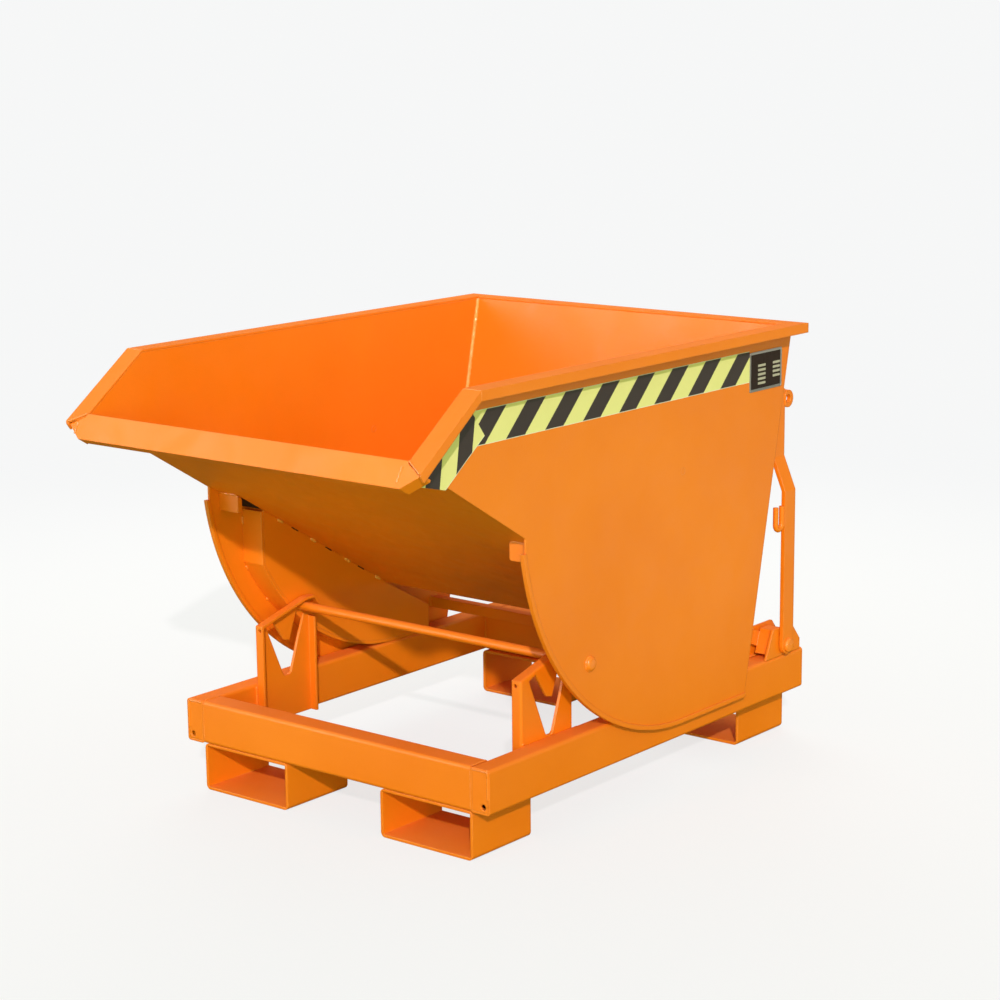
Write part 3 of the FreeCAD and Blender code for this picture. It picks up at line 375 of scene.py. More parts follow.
# %% [markdown]
# The short strip lies over the front end of the long one. Its lower end is trimmed along the
# plate's slanted lower edge, as a fitter would trim it with a knife.

# %% Short strip
MOUTH_TILT = math.atan2(0.092, 0.1245)
LEG_INSIDE, LEG_OUTSIDE = 0.5737, 0.6287
TRIM_INSIDE, TRIM_OUTSIDE, LEG_END, LEG_START = 0.2848, 0.2388, 0.4013, 0.29
leg_along = Vector((math.cos(MOUTH_TILT), math.sin(MOUTH_TILT)))
leg_across = Vector((-math.sin(MOUTH_TILT), math.cos(MOUTH_TILT)))


def leg_point(along, across):
    """Point on the plate, from a place along and across the slanted strip."""
    spot = leg_along * along + leg_across * across
    return (spot.x - SEAT_Y, spot.y)


tape_strip("mouth_tape", [leg_point(TRIM_INSIDE, LEG_INSIDE), leg_point(LEG_END, LEG_INSIDE),
                          leg_point(LEG_END, LEG_OUTSIDE), leg_point(TRIM_OUTSIDE, LEG_OUTSIDE)],
           origin=leg_point(LEG_START, LEG_INSIDE), tilt=MOUTH_TILT, lift=FILM_THICK, shift=0.0718)
print("short strip made")

# %% [markdown]
# ## A blank data plate
# Behind the tape sits a small plate for the maker's data. It stays blank: a bare border, a dark
# field and rows of empty pale boxes. It needs a scratched metal and two printed inks.

# %% Data plate materials
INK_SHEEN = 0.25


def brushed_metal(name, dark, light, roughness):
    """Metal with fine scratches along one way."""
    made, tree, shader = new_material(name)
    stretch = add_node(tree, "Mapping", {"Vector": own_space(tree), "Scale": (60.0, 60.0, 1400.0)})
    scratches = noise(tree, (stretch, "Vector"), 1.0, 3.0)
    rough = remap(tree, scratches, (0.3, 0.7), (roughness, roughness + 0.15))
    fill(tree, shader, {"Base Color": mix_colours(tree, scratches, dark, light),
                        "Roughness": rough, "Metallic": 0.85})
    return made


def printed_film(name, first, second, roughness):
    """Printed film whose ink is a little uneven."""
    made, tree, shader = new_material(name)
    uneven = noise(tree, own_space(tree), 140.0, 6.0, {"Roughness": 0.6})
    rough = remap(tree, uneven, (0.3, 0.7), (roughness, roughness + 0.2))
    fill(tree, shader, {"Base Color": mix_colours(tree, uneven, first, second),
                        "Roughness": rough, "Specular IOR Level": INK_SHEEN})
    return made


border_metal = brushed_metal("border_metal", (0.42, 0.41, 0.38, 1), (0.60, 0.58, 0.54, 1), 0.35)
field_ink = printed_film("field_ink", (0.018, 0.008, 0.005, 1), (0.030, 0.016, 0.011, 1), 0.4)
box_ink = printed_film("box_ink", (0.36, 0.31, 0.27, 1), (0.50, 0.44, 0.39, 1), 0.45)
print("materials", border_metal.name, field_ink.name, box_ink.name)

# %% [markdown]
# An operator in edit mode works on what is selected. pick() selects edges or faces by a test on
# their corner points, block() makes a box with four rounded edges, and merge() joins objects.

# %% Edit mode helpers
TOUCH = 1e-5


def pick(piece, kind, test):
    """Enter edit mode with only the edges or faces selected that pass a test."""
    bpy.ops.object.mode_set(mode="EDIT")
    bpy.ops.mesh.select_mode(type=kind)
    bpy.ops.mesh.select_all(action="DESELECT")
    bpy.ops.object.mode_set(mode="OBJECT")
    points = piece.data.vertices
    for part in piece.data.edges if kind == "EDGE" else piece.data.polygons:
        part.select = test([points[i].co for i in part.vertices])
    bpy.ops.object.mode_set(mode="EDIT")


def block(low, high, corner):
    """A box between two corner points, with the four edges along X rounded."""
    deselect()
    low, high = Vector(low), Vector(high)
    bpy.ops.mesh.primitive_cube_add(size=1, location=(low + high) / 2)
    made = bpy.context.object
    made.scale = high - low
    bpy.ops.object.transform_apply(location=True, rotation=False, scale=True)
    pick(made, "EDGE", lambda ends: (abs(ends[0].y - ends[1].y) < TOUCH
                                     and abs(ends[0].z - ends[1].z) < TOUCH))
    bpy.ops.mesh.bevel(offset=corner, segments=3, affect="EDGES")
    bpy.ops.object.mode_set(mode="OBJECT")
    return made


def merge(parts):
    """Join several objects into the first one."""
    deselect()
    for part in parts:
        part.select_set(True)
    bpy.context.view_layer.objects.active = parts[0]
    if len(parts) > 1:
        bpy.ops.object.join()
    return parts[0]


print("edit helpers ready")

# %% [markdown]
# The border is one block whose face is inset and pushed in, so that the field lies in a tray.

# %% Data plate
PLATE_Y = (0.7127 - SEAT_Y, 0.8155 - SEAT_Y)
PLATE_Z = (0.6678, 0.7378)
PLATE_THICK, TRAY_DEPTH, BORDER, INK_THICK = 0.0012, 0.0004, 0.0045, 0.0002
plate_top = plate_face + PLATE_THICK

border = block((plate_face, PLATE_Y[0], PLATE_Z[0]), (plate_top, PLATE_Y[1], PLATE_Z[1]),
               corner=0.002)
pick(border, "FACE", lambda corners: all(abs(c.x - plate_top) < TOUCH for c in corners))
bpy.ops.mesh.inset(thickness=BORDER)
bpy.ops.transform.translate(value=(-TRAY_DEPTH, 0, 0))
bpy.ops.object.mode_set(mode="OBJECT")
finish_piece(border, "data_plate", "skip", border_metal)

tray = plate_top - TRAY_DEPTH
field = block((tray, PLATE_Y[0] + BORDER, PLATE_Z[0] + BORDER),
              (tray + INK_THICK, PLATE_Y[1] - BORDER, PLATE_Z[1] - BORDER), corner=0.001)
finish_piece(field, "data_plate_field", "skip", field_ink)

# %% [markdown]
# The boxes stand in two columns. Each column is (near end, far end, top, number of rows).

# %% Boxes on the data plate
BOX_HEIGHT, ROW_STEP = 0.0042, 0.0078
COLUMNS = ((0.7390 - SEAT_Y, 0.7630 - SEAT_Y, 0.7145, 5),
           (0.7865 - SEAT_Y, 0.8095 - SEAT_Y, 0.7150, 4))
ink_face = tray + INK_THICK
boxes = []
for near, far, top, rows in COLUMNS:
    for row in range(rows):
        foot = top - row * ROW_STEP - BOX_HEIGHT
        boxes.append(block((ink_face, near, foot),
                           (ink_face + INK_THICK, far, foot + BOX_HEIGHT), corner=0.0006))
finish_piece(merge(boxes), "data_plate_boxes", "skip", box_ink)

# %% [markdown]
# ## Round heads
# The plate's rivets, the guide rod and the lever's shaft all end in a round head. A head is a short
# cylinder lying along X whose outer edge is bevelled so widely that it becomes a dome.

# %% Heads
def round_head(centre, radius, height, side, rounding=0.8):
    """A domed disc on a face that looks along +X or -X. The centre lies on that face."""
    deselect()
    middle = Vector(centre) + Vector((side * height / 2, 0, 0))
    bpy.ops.mesh.primitive_cylinder_add(vertices=40, radius=radius, depth=height,
                                        rotation=(0, math.pi / 2, 0), location=middle)
    made = bpy.context.object
    bpy.ops.object.transform_apply(location=True, rotation=True, scale=True)
    outer = centre[0] + side * height
    pick(made, "EDGE", lambda ends: all(abs(e.x - outer) < TOUCH for e in ends))
    bpy.ops.mesh.bevel(offset=height * rounding, segments=6, affect="EDGES")
    bpy.ops.object.mode_set(mode="OBJECT")
    return made


RIVET_RADIUS, RIVET_RISE, RIVET_INSET = 0.0015, 0.0008, 0.0023
rivets = [round_head((plate_top, y, z), RIVET_RADIUS, RIVET_RISE, 1)
          for y in (PLATE_Y[0] + RIVET_INSET, PLATE_Y[1] - RIVET_INSET)
          for z in (PLATE_Z[0] + RIVET_INSET, PLATE_Z[1] - RIVET_INSET)]
finish_piece(merge(rivets), "data_plate_rivets", "skip", border_metal)

boss_low, boss_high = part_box("guide_rod_bosses")
rod_y, rod_z = (boss_low.y + boss_high.y) / 2, (boss_low.z + boss_high.z) / 2
boss_radius, boss_rise = (boss_high.y - boss_low.y) / 2, boss_high.x - plate_face
bosses = merge([round_head((side * plate_face, rod_y, rod_z), boss_radius, boss_rise, side)
                for side in (-1, 1)])
finish_piece(bosses, "round_rod_bosses", "skip", weld_enamel)
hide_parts("guide_rod_bosses")

HEAD_ROUNDING = 0.6
heads_low, heads_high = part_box("lever_shaft_heads")
shaft_low, shaft_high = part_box("lever_shaft")
pivot_y, pivot_z = (heads_low.y + heads_high.y) / 2, (heads_low.z + heads_high.z) / 2
head_radius = (heads_high.y - heads_low.y) / 2
pivot_heads = merge([
    round_head((shaft_low.x, pivot_y, pivot_z), head_radius, shaft_low.x - heads_low.x, -1,
               HEAD_ROUNDING),
    round_head((shaft_high.x, pivot_y, pivot_z), head_radius, heads_high.x - shaft_high.x, 1,
               HEAD_ROUNDING)])
finish_piece(pivot_heads, "round_shaft_heads", "lever", weld_enamel)
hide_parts("lever_shaft_heads")

# %% [markdown]
# ## Weld beads
# The skip is sheet and bar, welded by hand. A bead is a thin tube along the seam: a cylinder with
# round ends, cut into many rings, whose skin is then pushed in and out by a cloud texture. The
# texture is read in the object's own space after the bead lies in place, so no two beads are alike.

# %% Bead helpers
ripple = bpy.data.textures.new("weld_ripple", "CLOUDS")
ripple.noise_scale = 0.0045
ripple.noise_depth = 2
RIPPLE_DEPTH, END_ROUNDING, RING_STEP = 0.9, 0.7, 0.8
BEAD_SIDES, MOST_CUTS, NEARLY, WELD_ANGLE = 8, 60, 0.98, 60


def rippled(piece, radius):
    """Push the skin of a finished bead in and out."""
    waves = piece.modifiers.new("ripple", "DISPLACE")
    waves.texture = ripple
    waves.texture_coords = "LOCAL"
    waves.strength = radius * RIPPLE_DEPTH
    waves.mid_level = 0.5
    bpy.ops.object.modifier_apply(modifier="ripple")
    return piece


def bead(start, end, radius):
    """One weld bead from start to end."""
    start, end = Vector(start), Vector(end)
    length = (end - start).length
    deselect()
    bpy.ops.mesh.primitive_cylinder_add(vertices=BEAD_SIDES, radius=radius, depth=length)
    run = bpy.context.object
    pick(run, "EDGE", lambda ends: abs(ends[0].z - ends[1].z) < TOUCH)
    bpy.ops.mesh.bevel(offset=min(radius * END_ROUNDING, length / 4), segments=2, affect="EDGES")
    bpy.ops.object.mode_set(mode="OBJECT")
    for _ in range(2):
        points = run.data.vertices
        longest = max(abs(points[e.vertices[0]].co.z - points[e.vertices[1]].co.z)
                      for e in run.data.edges)
        cuts = min(MOST_CUTS, int(longest / (radius * RING_STEP)))
        if cuts < 1:
            break
        pick(run, "EDGE", lambda ends: abs(ends[0].z - ends[1].z) > longest * NEARLY)
        bpy.ops.mesh.subdivide(number_cuts=cuts)
        bpy.ops.object.mode_set(mode="OBJECT")
    run.rotation_euler = (end - start).to_track_quat("Z", "Y").to_euler()
    run.location = (start + end) / 2
    bpy.ops.object.transform_apply(location=True, rotation=True, scale=True)
    return rippled(run, radius)


def ring_bead(centre, radius, thickness):
    """A weld bead round a bar that runs along X."""
    deselect()
    bpy.ops.mesh.primitive_torus_add(major_radius=radius, minor_radius=thickness,
                                     major_segments=56, minor_segments=8,
                                     rotation=(0, math.pi / 2, 0), location=centre)
    ring = bpy.context.object
    bpy.ops.object.transform_apply(location=True, rotation=True, scale=True)
    return rippled(ring, thickness)


def weld(name, body, runs, radius, rings=(), material=weld_enamel):
    """All the beads of one seam group as one piece."""
    made = [bead(start, end, radius) for start, end in runs]
    made += [ring_bead(centre, ring_radius, radius) for centre, ring_radius in rings]
    return finish_piece(merge(made), name, body, material, WELD_ANGLE)


def mirrored(runs):
    """The same runs on both sides of the skip."""
    flip = Matrix.Diagonal((-1, 1, 1))
    return list(runs) + [(flip @ Vector(start), flip @ Vector(end)) for start, end in runs]


print("bead helpers ready")

# %% [markdown]
# Inside the trough the rear wall meets the side plates in two upright corners. The wall leans, so
# the bead's ends come from the wall's box: its inner face starts at the lowest y, and its lean ends
# at the top. The inner bead gets the palest enamel: a painted highlight for glints on its ripples.

# %% Trough welds
wall_low, wall_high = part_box("rear_wall")
inside = plate_low.x
SHEET = plate_face - inside
WALL_LEAN = math.radians(12.2)
CORNER_IN, CORNER_RISE, SEAM_STOP = 0.001, 1.5 * SHEET, 0.018
wall_depth = SHEET / math.cos(WALL_LEAN)
foot = wall_low.z + CORNER_RISE
lean = (wall_high.y - wall_depth - wall_low.y) / (wall_high.z - wall_low.z)
corner_foot = (inside - CORNER_IN, wall_low.y + lean * (foot - wall_low.z), foot)
corner_head = (inside - CORNER_IN, wall_high.y - wall_depth, wall_high.z)
weld("rear_corner_welds", "skip", mirrored([(corner_foot, corner_head)]), radius=0.0040,
     material=stitch_highlight_enamel)
outer_foot = (inside, wall_low.y + wall_depth, wall_low.z)
outer_head = (inside, wall_high.y, wall_high.z - SEAM_STOP)
weld("rear_seam_welds", "skip", mirrored([(outer_foot, outer_head)]), radius=0.0026)

# %% [markdown]
# Under the trough the chute is held to the inner rocker plates by short stitches, which get the
# palest enamel as a painted highlight. Between two stitches the seam stays open, and a near-black
# bead there is painted shade for the shadow inside that slit.

# %% Chute stitches
chute_low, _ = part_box("chute_plate")
_, inner_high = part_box("left_inner_rocker_plate")
BEND_Y, BEND_Z = 0.132, chute_low.z
CHUTE_RISE = math.tan(math.radians(31))
STITCH_PLACES = (-0.1507, -0.0669, 0.0226, 0.1043)
STITCH_HALF, SLIT_HALF, SLIT_SHIFT = 0.007, 0.008, 0.004
STITCH_PROUD = Vector((0.001, 0, -0.0015))
SLIT_PROUD = Vector((0, 0, -0.00088))


def under_chute(x, y):
    """Point on the chute's underside."""
    return Vector((x, y, BEND_Z + max(0.0, BEND_Y - y) * CHUTE_RISE))


stitches = [(under_chute(inner_high.x, y - STITCH_HALF) + STITCH_PROUD,
             under_chute(inner_high.x, y + STITCH_HALF) + STITCH_PROUD) for y in STITCH_PLACES]
weld("chute_stitch_welds", "skip", mirrored(stitches), radius=0.0030, material=stitch_highlight_enamel)

# Painted shade: a near-black film on thin beads stands for the shadow in each open slit.
slit_shade_paint = printed_film("slit_shadow", (0.012, 0.008, 0.005, 1), (0.03, 0.018, 0.010, 1), 0.8)
slits = []
for near, far in zip(STITCH_PLACES[:-1], STITCH_PLACES[1:]):
    middle = (near + far) / 2 - SLIT_SHIFT
    for side in (-1, 1):
        start, end = [under_chute(side * -inner_high.x, middle + step) + SLIT_PROUD
                      for step in (-SLIT_HALF, SLIT_HALF)]
        slits.append(bead(start, end, radius=0.0010))
finish_piece(merge(slits), "chute_seam_shade_strips", "skip", slit_shade_paint, WELD_ANGLE)

# %% [markdown]
# At the head of each rocker a stop plate hangs under the chute. It is cut from flat bar, so the
# solid block is replaced by a thinner plate: its upper edge follows the chute's slope and its
# corners are rounded.

# %% Stop plates
STOP_DEPTH, STOP_CORNER = 0.010, 0.004


def stop_plate(low, high):
    """Flat plate under the chute, in front of a rocker."""
    deselect()
    back = low.y + STOP_DEPTH
    middle = ((low.x + high.x) / 2, (low.y + back) / 2, (low.z + high.z) / 2)
    bpy.ops.mesh.primitive_cube_add(size=1, location=middle)
    made = bpy.context.object
    made.scale = (high.x - low.x, STOP_DEPTH, high.z - low.z)
    bpy.ops.object.transform_apply(location=True, rotation=False, scale=True)
    pick(made, "EDGE", lambda ends: all(e.y > back - TOUCH and e.z > high.z - TOUCH for e in ends))
    bpy.ops.transform.translate(value=(0, 0, -STOP_DEPTH * CHUTE_RISE))
    bpy.ops.object.mode_set(mode="OBJECT")
    pick(made, "EDGE", lambda ends: (abs(ends[0].x - ends[1].x) < TOUCH
                                     and abs(ends[0].y - ends[1].y) > TOUCH))
    bpy.ops.mesh.bevel(offset=STOP_CORNER, segments=4, affect="EDGES")
    bpy.ops.object.mode_set(mode="OBJECT")
    return made


for side in ("left", "right"):
    plate = finish_piece(stop_plate(*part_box(f"{side}_stop_block")), f"{side}_stop_plate", "skip",
                         orange_enamel)
    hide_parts(f"{side}_stop_block")

# %% [markdown]
# Behind the stop plate the hollow rocker is open under the chute. Hardly any light gets in there,
# so a thin dark liner against the chute stands for that shadow.

# %% Rocker liners
LINER_DROP = Vector((0, 0, -0.0006))
LINER_THICK = 0.0005
stop_low, stop_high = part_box("right_stop_block")
tread_low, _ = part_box("right_rocker_tread")
liner_front = stop_low.y + STOP_DEPTH
liners = []
for side in (-1, 1):
    corners = [under_chute(side * x, y) + LINER_DROP
               for x, y in ((stop_low.x, liner_front), (stop_high.x, liner_front),
                            (stop_high.x, tread_low.y), (stop_low.x, tread_low.y))]
    deselect()
    bpy.ops.mesh.primitive_plane_add(size=1)
    liner = bpy.context.object
    outline = list(liner.data.polygons[0].vertices)
    for index, corner in zip(outline, corners if side < 0 else corners[::-1]):
        liner.data.vertices[index].co = corner
    thick = liner.modifiers.new("sheet", "SOLIDIFY")
    thick.thickness = LINER_THICK
    bpy.ops.object.modifier_apply(modifier="sheet")
    liners.append(liner)
lining = merge(liners)
bpy.ops.object.mode_set(mode="EDIT")
bpy.ops.mesh.select_all(action="SELECT")
bpy.ops.mesh.normals_make_consistent(inside=False)
bpy.ops.object.mode_set(mode="OBJECT")
finish_piece(lining, "rocker_liners", "skip", slit_shade_paint)

# %% [markdown]
# The rocker's tread is tacked to the side plate at a few spots. The tie at the rear, the stop
# plate, the guide rod, its bosses and the catch pin are welded all along or all round.

# %% Rocker welds
tie_low, tie_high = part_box("rear_rocker_tie")
pin_low, pin_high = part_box("catch_pin")
ROLL_Y, ROLL_Z, ROLL_RADIUS = 0.156, 0.5603, 0.400
TACK_ANGLES, TACK_HALF, TACK_IN = (20, 34, 48, 60), 0.6, 0.0005
HEAD_TACK = (0.440, 0.455)
STOP_END, BAR_RING = 0.004, 0.0085


def on_tread(angle):
    """Point on the tread's rolling face, by its angle ahead of plumb."""
    turn = math.radians(angle)
    return Vector((inside - TACK_IN, ROLL_Y - ROLL_RADIUS * math.sin(turn),
                   ROLL_Z - ROLL_RADIUS * math.cos(turn)))


tacks = [(on_tread(angle - TACK_HALF), on_tread(angle + TACK_HALF)) for angle in TACK_ANGLES]
tacks += [tuple((inside - TACK_IN, tread_low.y, z) for z in HEAD_TACK)]
tie_ends = [((inside, tie_low.y, tie_low.z), (inside, tie_low.y, tie_high.z)),
            ((inside, tie_low.y, tie_high.z), (inside, tie_high.y, tie_high.z))]
stop_edge = [(under_chute(stop_low.x + STOP_END, stop_low.y),
              under_chute(stop_high.x - STOP_END, stop_low.y))]
pin_y, pin_z = (pin_low.y + pin_high.y) / 2, (pin_low.z + pin_high.z) / 2
rings = [((side * (-inner_high.x - TACK_IN), rod_y, rod_z), BAR_RING) for side in (-1, 1)]
rings += [((side * plate_face, rod_y, rod_z), boss_radius) for side in (-1, 1)]
rings += [((inside - TACK_IN, pin_y, pin_z), BAR_RING)]
weld("rocker_welds", "skip", mirrored(tacks + tie_ends + stop_edge), radius=0.0022, rings=rings)

# %% [markdown]
# The rim is bent from strips that are mitred at the mouth. The mitres are welded and ground nearly
# flush, so their beads stand only half a millimetre proud.

# %% Rim welds
_, rim_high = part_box("right_rim")
MITRE_Y = -0.063 - SEAT_Y
MITRE_SUNK, MITRE_END, MITRE_START, MITRE_DROP = 0.0008, 0.001, 0.003, 0.016
mitre_x, mitre_z = rim_high.x - MITRE_SUNK, rim_high.z - MITRE_SUNK
mitres = [((plate_face - MITRE_START, MITRE_Y, mitre_z),
           (rim_high.x - MITRE_END, MITRE_Y, mitre_z)),
          ((mitre_x, MITRE_Y, rim_high.z - MITRE_END),
           (mitre_x, MITRE_Y, rim_high.z - MITRE_DROP))]
weld("rim_mitre_welds", "skip", mirrored(mitres), radius=0.0013)

# %% [markdown]
# At the mouth the rim's slanted strip ends on the lip. One bead closes that joint, and a second one
# runs down the lip's face where its end gusset was let in.

# %% Lip welds
_, lip_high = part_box("front_lip")
LIP_BACK, LIP_SLOPE = 0.0117, 0.602
JOINT_TOP_Y, JOINT_FOOT_Y, JOINT_FOOT_Z, JOINT_END = -0.5448, -0.5595, 0.6735, 0.003
GUSSETS = (((-0.363, 0.6745), (-0.3615, 0.6560)), ((0.3405, 0.6800), (0.3400, 0.6560)))


def on_lip(x, z):
    """Point on the face of the lip."""
    return Vector((x, lip_high.y - LIP_BACK - (lip_high.z - z) * LIP_SLOPE, z))


rim_joint = [((inside, JOINT_TOP_Y, lip_high.z),
              (rim_high.x - JOINT_END, JOINT_FOOT_Y, JOINT_FOOT_Z))]
gussets = [(on_lip(*head), on_lip(*foot)) for head, foot in GUSSETS]
weld("lip_corner_welds", "skip", mirrored(rim_joint) + gussets, radius=0.0016)

# %% [markdown]
# The stands' feet are welded to the rails. The treads roll over the rails just beside them, so the
# long beads are sunk below the rail's top and the blobs stay on the stand's side of the seam.

# %% Stand welds
rail_low, rail_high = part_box("right_side_rail")
stand_low, stand_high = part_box("right_tip_stand")
seam_x, top_z, front_y = rail_low.x, rail_high.z, rail_low.y
GROOVE, FOOT_END, GROOVE_END = 0.0018, 0.004, 0.003
BLOB_HALF, BLOB_PLACES = 0.004, (0.006, 0.083)
feet = [((seam_x, y, top_z - FOOT_END), (seam_x, y, rail_low.z + FOOT_END))
        for y in (stand_low.y, stand_high.y)]
feet += [((seam_x + GROOVE, stand_low.y + GROOVE_END, top_z - 2 * GROOVE),
          (seam_x + GROOVE, stand_high.y - GROOVE_END, top_z - 2 * GROOVE))]
weld("stand_foot_welds", "frame", mirrored(feet), radius=0.0024)
blobs = [((seam_x - GROOVE / 2, stand_low.y + step - BLOB_HALF, top_z + GROOVE),
          (seam_x - GROOVE / 2, stand_low.y + step + BLOB_HALF, top_z + GROOVE / 2))
         for step in BLOB_PLACES]
weld("stand_foot_blobs", "frame", mirrored(blobs), radius=0.0021)

# %% [markdown]
# The other seams of the frame: the plates that close the rail ends, the beams between the rails and
# the lever's bearing plates.

# %% Frame welds
beam_low, beam_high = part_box("front_beam")
rear_low, rear_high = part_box("rear_beam")
cap_low, cap_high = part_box("rail_end_caps")
CAP_PROUD, CAP_STOP, BEAM_PROUD, UPRIGHT_END, FLAT_END = 0.0008, 0.022, 0.0004, 0.008, 0.006
upright_top, upright_foot = top_z - UPRIGHT_END, rail_low.z + UPRIGHT_END
cap_left = rail_low.x + (rail_high.x - cap_high.x)
cap_top = cap_high.z + CAP_PROUD
cap_seams = [((cap_left, front_y, cap_top), (cap_high.x, front_y, cap_top)),
             ((cap_high.x, front_y, cap_top), (cap_high.x, front_y, cap_low.z + CAP_STOP)),
             ((cap_left, rail_high.y, cap_top), (cap_high.x, rail_high.y, cap_top))]
weld("rail_end_welds", "frame", mirrored(cap_seams), radius=0.0019)
upright_seams = [((seam_x, front_y + BEAM_PROUD, upright_top),
                  (seam_x, front_y + BEAM_PROUD, upright_foot))]
weld("beam_end_welds", "frame", mirrored(upright_seams), radius=0.0009)
beam_seams = [((seam_x, low.y + FLAT_END, top_z), (seam_x, high.y - FLAT_END, top_z))
              for low, high in ((beam_low, beam_high), (rear_low, rear_high))]
beam_seams += [((seam_x, y, upright_top), (seam_x, y, upright_foot))
               for y in (beam_high.y, rear_low.y)]
weld("beam_seam_welds", "frame", mirrored(beam_seams), radius=0.0016)

inner_lug, outer_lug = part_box("lever_inner_lug"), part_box("lever_outer_lug")
lug_runs = [((x, lug[0].y + FLAT_END, top_z), (x, lug[1].y - FLAT_END, top_z))
            for lug, x in ((inner_lug, inner_lug[0].x), (inner_lug, inner_lug[1].x),
                           (outer_lug, outer_lug[0].x))]
weld("lug_foot_welds", "frame", lug_runs, radius=0.0022)

# %% [markdown]
# The eye at the lever's head is welded on both sides. These beads ride on the lever.

# %% Lever welds
EYE_HALF = 0.011
eye_low, eye_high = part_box("cord_eye")
eye_z = (eye_low.z + eye_high.z) / 2
eye_runs = [((x, eye_low.y, eye_z - EYE_HALF), (x, eye_low.y, eye_z + EYE_HALF))
            for x in (eye_low.x, eye_high.x)]
weld("eye_welds", "lever", eye_runs, radius=0.0018)

# %% [markdown]
# ## Floor, light and camera
# A Light Path node tells rays apart, so the floor can be three things at once. The camera sees a
# pale floor that fades into the backdrop and keeps a faint shadow. Bounced light meets an olive
# floor, which keeps the underside from turning red. Reflections meet dark ground close to the skip
# and paler ground to its right and in front.

# %% Floor
BACKDROP = (0.925, 0.93, 0.93, 1)
FLOOR_PALE, FLOOR_BOUNCE = (0.93, 0.93, 0.93, 1), (0.40, 0.53, 0.13, 1)
SHADOW_VEIL, DARK_GROUND = 0.80, 0.015

deselect()
bpy.ops.mesh.primitive_circle_add(vertices=96, radius=6.0, fill_type="NGON",
                                  location=(0, 0, -0.0005))
floor = bpy.context.object
floor.name = "studio_floor"
floor_paint, tree, shader = new_material("floor_paint")
fill(tree, shader, {"Base Color": FLOOR_BOUNCE, "Roughness": 0.9, "Specular IOR Level": 0.0})
seen = add_node(tree, "BsdfDiffuse", {"Color": FLOOR_PALE})
glow = add_node(tree, "Emission", {"Color": BACKDROP, "Strength": 1.0})
soft_shadow = add_node(tree, "MixShader", {0: SHADOW_VEIL, 1: (seen, 0), 2: (glow, 0)})
place = own_space(tree)
reach = add_node(tree, "VectorMath", {0: place}, operation="LENGTH")
fade = remap(tree, (reach, "Value"), (1.2, 3.2), curve="SMOOTHSTEP")
faded = add_node(tree, "MixShader", {0: fade, 1: (soft_shadow, 0), 2: (glow, 0)})
way = add_node(tree, "SeparateXYZ", {0: place})
beside = remap(tree, (way, "X"), (0.6, 1.0), (DARK_GROUND, 0.60))
before = remap(tree, (way, "Y"), (-0.5, -0.75), (DARK_GROUND, 0.50))
murk = add_node(tree, "BsdfDiffuse", {"Color": calculate(tree, "MAXIMUM", beside, before)})
rays = add_node(tree, "LightPath")
thrown = add_node(tree, "MixShader", {0: (rays, "Is Glossy Ray"), 1: (shader, 0), 2: (murk, 0)})
choose = add_node(tree, "MixShader", {0: (rays, "Is Camera Ray"), 1: (thrown, 0), 2: (faded, 0)})
fill(tree, tree.nodes["Material Output"], {"Surface": (choose, 0)})
floor.data.materials.append(floor_paint)
print("floor ready")

# %% [markdown]
# The world does the same. The camera sees the backdrop, the sky lights the skip, and reflections
# see a sky that is bright in front, most of all on the left, and dark behind.

# %% World
world = bpy.data.worlds.new("studio")
bpy.context.scene.world = world
world.use_nodes = True
tree = world.node_tree
sky = fill(tree, tree.nodes["Background"], {"Color": (1.0, 1.02, 0.86, 1), "Strength": 0.58})
backdrop = add_node(tree, "Background", {"Color": BACKDROP, "Strength": 1.0})
where = add_node(tree, "TexCoord")
way = add_node(tree, "SeparateXYZ", {0: (where, "Generated")})
ahead = remap(tree, (way, "Y"), (0.25, -0.75), (0.10, 3.0), "SMOOTHSTEP")
aside = remap(tree, (way, "X"), (0.15, -0.45), (0.60, 1.7), "SMOOTHSTEP")
sheen = add_node(tree, "Background", {"Color": (1.0, 0.97, 0.95, 1),
                                      "Strength": calculate(tree, "MULTIPLY", ahead, aside)})
rays = add_node(tree, "LightPath")
thrown = add_node(tree, "MixShader", {0: (rays, "Is Glossy Ray"), 1: (sky, 0), 2: (sheen, 0)})
choose = add_node(tree, "MixShader", {0: (rays, "Is Camera Ray"), 1: (thrown, 0),
                                      2: (backdrop, 0)})
fill(tree, tree.nodes["World Output"], {"Surface": (choose, 0)})
print("world ready")

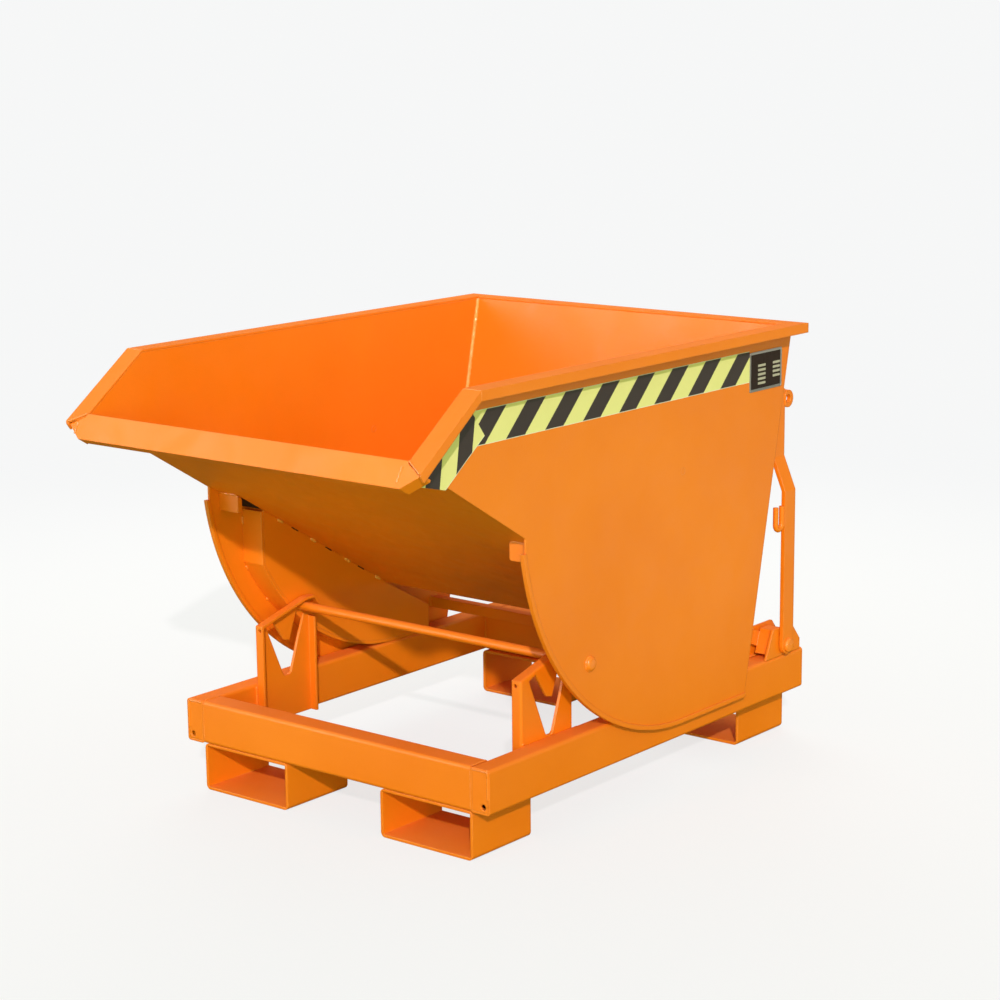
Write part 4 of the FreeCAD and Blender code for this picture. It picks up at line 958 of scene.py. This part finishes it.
# %% [markdown]
# Three lamps. The key is a sun behind the camera and above it, low enough to light the lower half
# of the far rocker. A weaker, softer sun close to the ground reaches the faces under the chute that
# the key leaves in shadow. A wide lamp behind the skip lifts its rear.

# %% Lamps
bpy.ops.object.light_add(type="SUN", location=(3, -3, 2))
key = bpy.context.object
key.data.energy = 2.45
key.data.color = (1.0, 0.93, 0.95)
key.data.angle = math.radians(1.2)
key.rotation_euler = Vector((0.85, -1.0, 0.685)).to_track_quat("Z", "Y").to_euler()
bpy.ops.object.light_add(type="SUN", location=(3, -3, 0.6))
low_fill = bpy.context.object
low_fill.data.energy = 1.0
low_fill.data.color = (0.55, 1.0, 0.30)
low_fill.data.angle = math.radians(25)
low_fill.visible_glossy = False
low_fill.rotation_euler = Vector((0.70, -0.70, 0.10)).to_track_quat("Z", "Y").to_euler()
bpy.ops.object.light_add(type="AREA", location=(-2.2, 2.6, 2.4))
rear_fill = bpy.context.object
rear_fill.data.energy = 60
rear_fill.data.size = 2.5
rear_fill.visible_glossy = False
aim = Vector((0, 0, 0.4)) - rear_fill.location
rear_fill.rotation_euler = aim.to_track_quat("-Z", "Y").to_euler()
print("lamps ready")

# %% [markdown]
# The camera looks from the front right, a little from above, and is rolled by half a degree. Its
# three axes are worked out first, and a matrix with them as columns gives its rotation.

# %% Camera
CAMERA_PLACE = (2.6413, -3.1670, 1.3537)
AZIMUTH, ELEVATION, ROLL = math.radians(38.98), math.radians(12.43), math.radians(-0.59)
forward = Vector((-math.sin(AZIMUTH) * math.cos(ELEVATION),
                  math.cos(AZIMUTH) * math.cos(ELEVATION), -math.sin(ELEVATION)))
right = Vector((math.cos(AZIMUTH), math.sin(AZIMUTH), 0))
up = right.cross(forward)
turned_right = right * math.cos(ROLL) + up * math.sin(ROLL)
turned_up = up * math.cos(ROLL) - right * math.sin(ROLL)
bpy.ops.object.camera_add(location=CAMERA_PLACE)
camera = bpy.context.object
camera.rotation_euler = Matrix((turned_right, turned_up, -forward)).transposed().to_euler()
camera.data.lens = 87.1
camera.data.sensor_width = 36
camera.data.shift_y = 0.027
bpy.context.scene.camera = camera
bpy.context.scene.view_settings.view_transform = "Standard"
print("camera ready")
